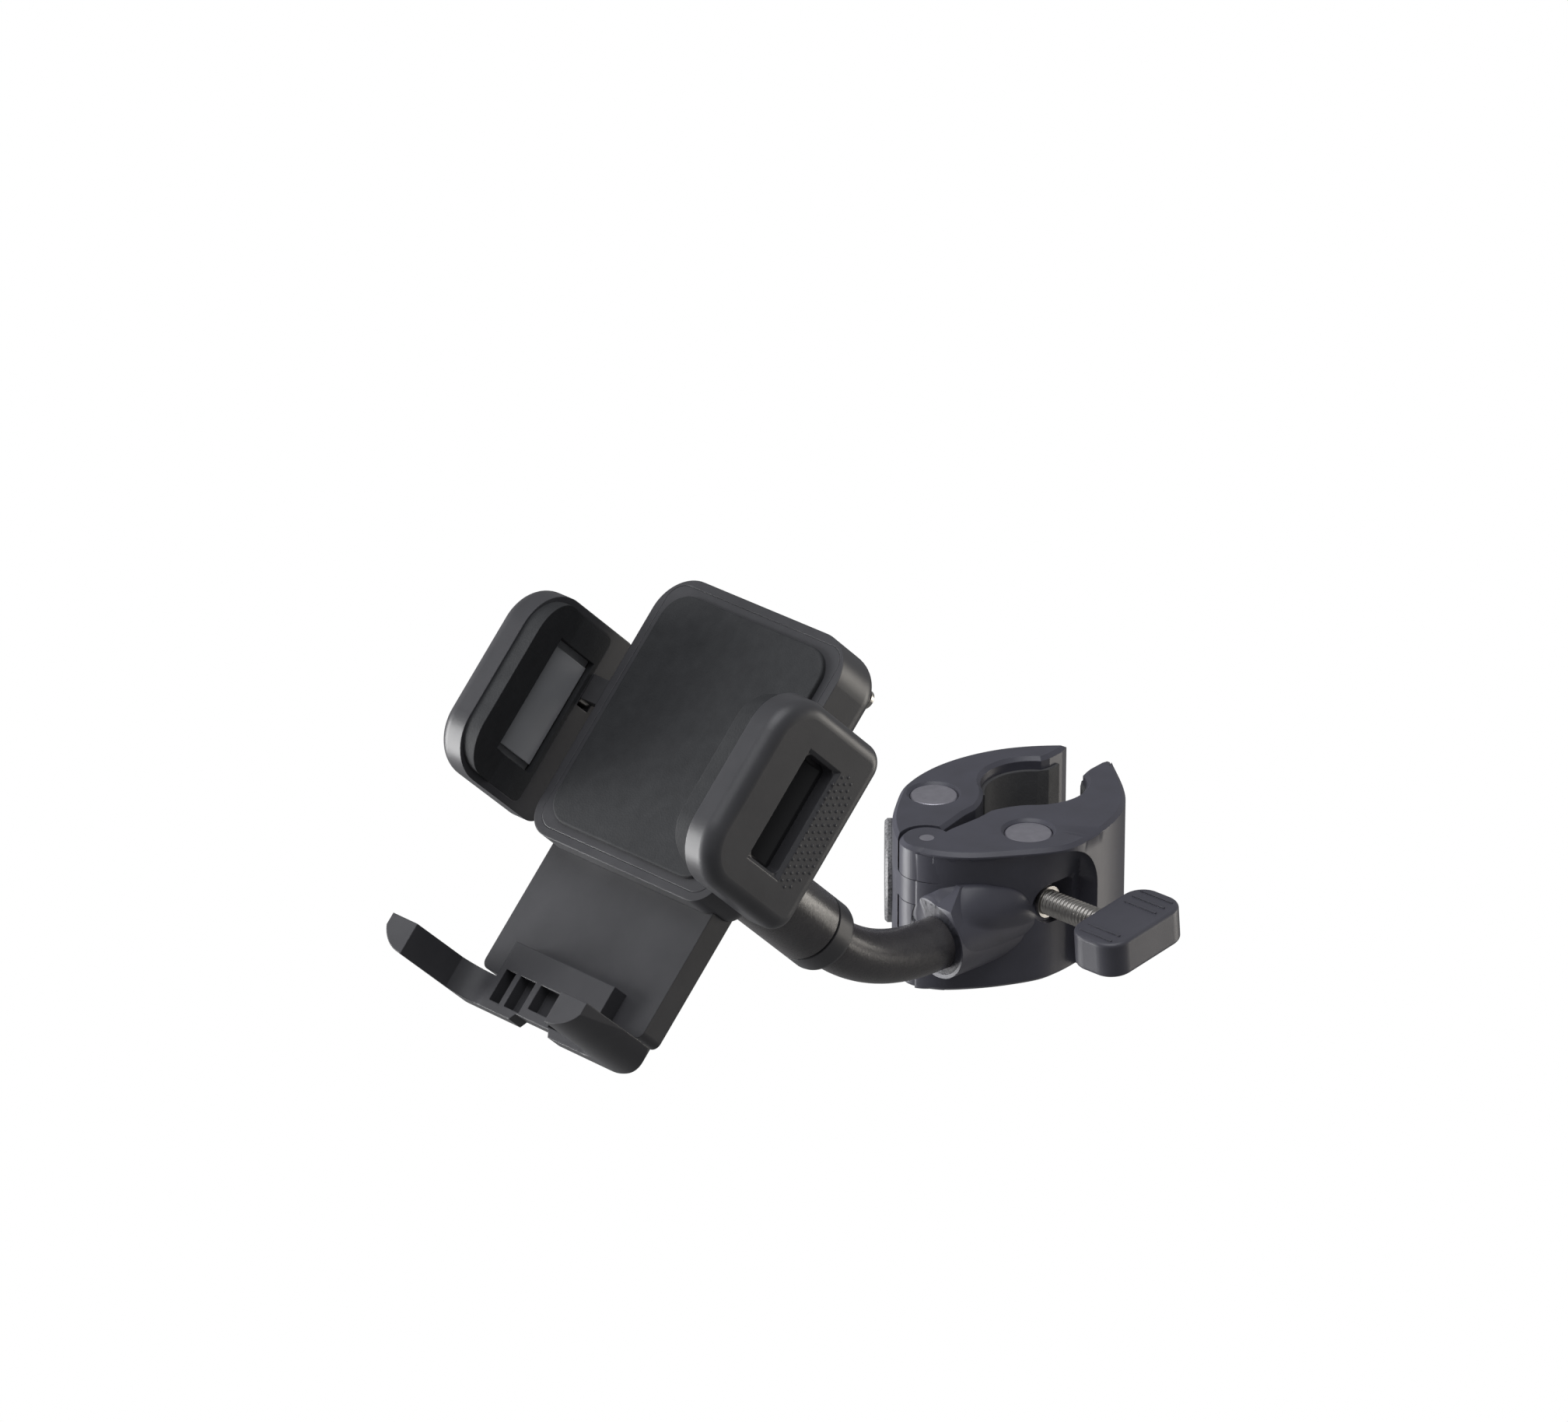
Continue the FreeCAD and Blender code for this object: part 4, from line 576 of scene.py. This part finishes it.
def zinc_plate():
    """Zinc-plated screw steel: bright, with soft reflections."""
    material, shader, place = new_material("zinc_plated_steel")
    mottle(material, shader, place, "#aaa7a3", "#c4c1bc", 1.5 * MM)
    shader.inputs["Metallic"].default_value = 1.0
    rough_range(material, shader, place, 1 * MM, 0.24, 0.36)
    grain(material, shader, place, 0.3 * MM, 0.004 * MM, 0.4, 0.1 * MM)
    return material


def moulded_abs(name, dark, light, low, high, rounding=0.35 * MM):
    """Injection-moulded ABS with a fine spark-eroded texture, satin: two tones and a roughness range."""
    material, shader, place = new_material(name)
    mottle(material, shader, place, dark, light, 12 * MM)
    shader.inputs["IOR"].default_value = 1.53
    rough_range(material, shader, place, 8 * MM, low, high)
    grain(material, shader, place, 0.3 * MM, 0.014 * MM, 0.6, rounding)
    return material, shader, place


def grip_bar_abs():
    """Light grey ABS of the bars in the side pads, with painted shade: dark on the side towards the hollow
    arm, where the arm's walls shade it.
    """
    material, shader, place = moulded_abs("grey_abs_with_painted_shade", "#939497", "#9d9ea1", 0.4, 0.5)
    light_end, dark_start = 37.8 * MM, 38.3 * MM
    painted_shade_share = share_along(material, place, CRADLE, ACROSS, light_end, dark_start, True)
    # Painted shade: the part of the bar further out than 38.3 mm from the cradle's middle, inside the hollow
    # arm, is mixed to near black
    second_tone(material, shader, painted_shade_share, "#1c1c1e")
    return material


def silicone(name, dark, light):
    """Moulded silicone rubber: dark, matt, with a pebbled skin."""
    material, shader, place = new_material(name)
    mottle(material, shader, place, dark, light, 4 * MM)
    shader.inputs["IOR"].default_value = 1.43
    rough_range(material, shader, place, 3 * MM, 0.7, 0.85)
    grain(material, shader, place, 0.45 * MM, 0.05 * MM, 0.8, 0.3 * MM, "cells")
    return material


def nylon():
    """Dark moulded nylon of the racks, pinion and cups: slightly waxy."""
    material, shader, place = new_material("dark_nylon")
    mottle(material, shader, place, "#38383a", "#434345", 5 * MM)
    shader.inputs["IOR"].default_value = 1.53
    rough_range(material, shader, place, 4 * MM, 0.4, 0.5)
    grain(material, shader, place, 0.4 * MM, 0.01 * MM, 0.4, 0.15 * MM)
    return material


casting = powder_coat("powder_coated_casting")[0]
worn = worn_casting()
enamel = tube_paint()
steel = machined_steel()
zinc = zinc_plate()
rubber = silicone("pebbled_silicone", "#292a2c", "#333436")
lining_rubber = silicone("lining_rubber", "#4c4c4e", "#585859")
gear_nylon = nylon()
shell_abs = moulded_abs("satin_abs", "#3c3c3f", "#454548", 0.34, 0.44)[0]
bar_abs = grip_bar_abs()
button_abs = moulded_abs("button_abs", "#606163", "#6a6b6d", 0.45, 0.55)[0]
knob_abs = moulded_abs("slate_abs", "#484850", "#505058", 0.36, 0.46, 0.12 * MM)[0]

finishes = {
    casting: ["front_jaw"],
    worn: ["rear_jaw"],
    lining_rubber: ["front_jaw_pad", "rear_jaw_pad"],
    enamel: ["arm_tube", "arm_sleeve"],
    steel: ["pivot_pin", "swivel_barrel", "nut_barrel", "ball_stud"],
    zinc: ["clamp_screw", "screw_clips", "cover_screws", "left_arm_screws", "right_arm_screws", "foot_screws",
           "button_spring", "opening_spring"],
    rubber: ["left_pad", "right_pad", "front_cushion"],
    gear_nylon: ["friction_cup", "pressure_cap", "pinion", "left_rack", "right_rack"],
    shell_abs: ["arm_collar", "lock_nut", "cradle_housing", "front_cover", "left_arm", "right_arm",
                "foot_slide", "foot"],
    bar_abs: ["left_grip_bar", "right_grip_bar"],
    button_abs: ["release_button"],
    knob_abs: ["knob"],
}


def finish(piece, material):
    """Gives a piece one material."""
    piece.data.materials.clear()
    piece.data.materials.append(material)


for material, names in finishes.items():
    for name in names:
        finish(nodes[name], material)

screw_piece = threaded_screw()
finish(screw_piece, zinc)
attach(screw_piece, "screw")
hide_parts("clamp_screw")

jaw_piece = jaw_without_boss()
finish(jaw_piece, casting)
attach(jaw_piece, "clamp_and_arm")
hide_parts("front_jaw")
lower_blend = knuckle_blend("knuckle_blend", JAW_FOOT, 9.28, 0.9)
upper_blend = knuckle_blend("upper_knuckle_blend", 9.42, 15.98, 0.02)
for added in (front_wall(), arm_boss(), lower_blend, upper_blend):
    finish(added, casting)
    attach(added, "clamp_and_arm")

# Opening spring: from the housing's wall to the lug of the right rack, in millimetres of the cradle
WALL_ACROSS, LUG_ACROSS, COIL_ALONG, RACK_MIDDLE = -27.0, 10.0, -32.5, -13.5
wall_end = in_cradle(np.array([WALL_ACROSS, COIL_ALONG, RACK_MIDDLE]) * MM)
long_coil = coil_piece("arm_opening_coil", wall_end, ACROSS, (LUG_ACROSS - WALL_ACROSS) * MM,
                       radius=1.55 * MM, wire=0.5 * MM, turns=14)
finish(long_coil, zinc)
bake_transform(long_coil)
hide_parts("opening_spring")

# Button spring: from the cover back to the button's tongue
BUTTON_ALONG, COVER_OUT, TONGUE_OUT = 13.2, -11.3, -14.8
cover_end = in_cradle(np.array([0, BUTTON_ALONG, COVER_OUT]) * MM)
short_coil = coil_piece("button_coil", cover_end, -OUT, (COVER_OUT - TONGUE_OUT) * MM,
                        radius=2.6 * MM, wire=0.45 * MM, turns=3.5)
finish(short_coil, zinc)
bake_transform(short_coil)
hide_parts("button_spring")

for side, body in ((-1, "left_side"), (1, "right_side")):
    dots = grip_dots(body.split("_")[0] + "_grip_dots", side)
    finish(dots, shell_abs)
    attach(dots, body)


# Stage, light and camera

def stage_floor():
    """Pale floor well under the clamp: one square sheet, white where the camera sees it."""
    reach, drop = 3.0, 0.45
    height = cad_low.z - drop
    corners = [(-reach, -reach, height), (reach, -reach, height),
               (reach, reach, height), (-reach, reach, height)]
    floor = mesh_object("floor", corners, [(0, 1, 2, 3)], False)
    material = bpy.data.materials.new("pale_floor")
    material.use_nodes = True
    tree = material.node_tree
    tree.nodes.clear()
    output = add(material, "ShaderNodeOutputMaterial")
    diffuse = add(material, "ShaderNodeBsdfDiffuse", {"Color": linear("#8c8c8c")})
    white = add(material, "ShaderNodeEmission", {"Color": (1, 1, 1, 1), "Strength": 1.0})
    path = add(material, "ShaderNodeLightPath")
    mix = add(material, "ShaderNodeMixShader", {"Fac": 0.5}, {1: diffuse.outputs[0], 2: white.outputs[0]})
    tree.links.new(path.outputs["Is Camera Ray"], mix.inputs["Fac"])
    tree.links.new(mix.outputs[0], output.inputs["Surface"])
    finish(floor, material)


def world_light():
    """Even pale surroundings, white where the camera sees them."""
    world = bpy.data.worlds.new("studio")
    bpy.context.scene.world = world
    world.use_nodes = True
    tree = world.node_tree
    tree.nodes.clear()
    output = add(world, "ShaderNodeOutputWorld")
    soft = add(world, "ShaderNodeBackground", {"Color": (0.97, 0.98, 1.0, 1.0), "Strength": 0.26})
    white = add(world, "ShaderNodeBackground", {"Color": (1, 1, 1, 1), "Strength": 1.0})
    path = add(world, "ShaderNodeLightPath")
    mix = add(world, "ShaderNodeMixShader",
              links={0: path.outputs["Is Camera Ray"], 1: soft.outputs[0], 2: white.outputs[0]})
    tree.links.new(mix.outputs[0], output.inputs["Surface"])


def placed(across, upright, back, place):
    """Matrix of a lamp or camera: its three axes and its place as columns."""
    columns = np.stack([across, upright, back, place], 1)
    return Matrix([list(row) for row in columns] + [[0, 0, 0, 1]])


def softbox(name, place, aim, width, height, power, colour):
    """Rectangular soft light at a place, turned to aim at a point."""
    data = bpy.data.lights.new(name, "AREA")
    data.shape = "RECTANGLE"
    data.size = width
    data.size_y = height
    data.energy = power
    data.color = colour
    lamp = bpy.data.objects.new(name, data)
    bpy.context.scene.collection.objects.link(lamp)
    back = place - aim
    back /= np.linalg.norm(back)
    first, second = side_axes(back)
    lamp.matrix_world = placed(first, second, back, place)


TURN = math.radians(50.4)
FALL = math.radians(25.0)
LENS_PIXELS = 11829
IMAGE_WIDTH = 2016
SENSOR_WIDTH = 36.0
ORIGIN_RIGHT, ORIGIN_BELOW, ORIGIN_AHEAD = 0.05632, 0.03133, 2.08295
right = np.array([math.cos(TURN), -math.sin(TURN), 0.0])
level = np.array([math.sin(TURN), math.cos(TURN), 0.0])
forward = level * math.cos(FALL) + np.array([0, 0, -1.0]) * math.sin(FALL)
upward = np.cross(right, forward)
EYE = -(ORIGIN_RIGHT * right - ORIGIN_BELOW * upward + ORIGIN_AHEAD * forward)


def photo_camera():
    """Camera at the fitted viewpoint: level turn, fall and distance, with no shift."""
    data = bpy.data.cameras.new("photo_camera")
    data.sensor_fit = "HORIZONTAL"
    data.sensor_width = SENSOR_WIDTH
    data.lens = LENS_PIXELS / IMAGE_WIDTH * SENSOR_WIDTH
    data.clip_end = 20.0
    camera = bpy.data.objects.new("photo_camera", data)
    bpy.context.scene.collection.objects.link(camera)
    camera.matrix_world = placed(right, upward, -forward, EYE)
    bpy.context.scene.camera = camera


MIDDLE = np.array([-0.06, 0.0, 0.03])
ABOVE = np.array([0.0, 0.0, 1.0])
COOL_WHITE, WHITE, WARM_WHITE = (0.96, 0.97, 1.0), (1.0, 1.0, 1.0), (1.0, 0.95, 0.87)
stage_floor()
world_light()
softbox("top", MIDDLE + 1.0 * ABOVE - 0.25 * level - 0.1 * right, MIDDLE,
        width=0.9, height=0.9, power=6.6, colour=COOL_WHITE)
softbox("left_panel", MIDDLE - 0.9 * right + 0.09 * level - 0.14 * ABOVE, MIDDLE,
        width=0.5, height=0.75, power=13, colour=WHITE)
# The right panel stays low, so that level tops don't mirror it from the left
softbox("right_panel", MIDDLE + 1.0 * right + 0.3 * level - 0.26 * ABOVE, MIDDLE,
        width=0.4, height=0.7, power=4.5, colour=WARM_WHITE)
photo_camera()
bpy.context.scene.view_settings.view_transform = "Standard"
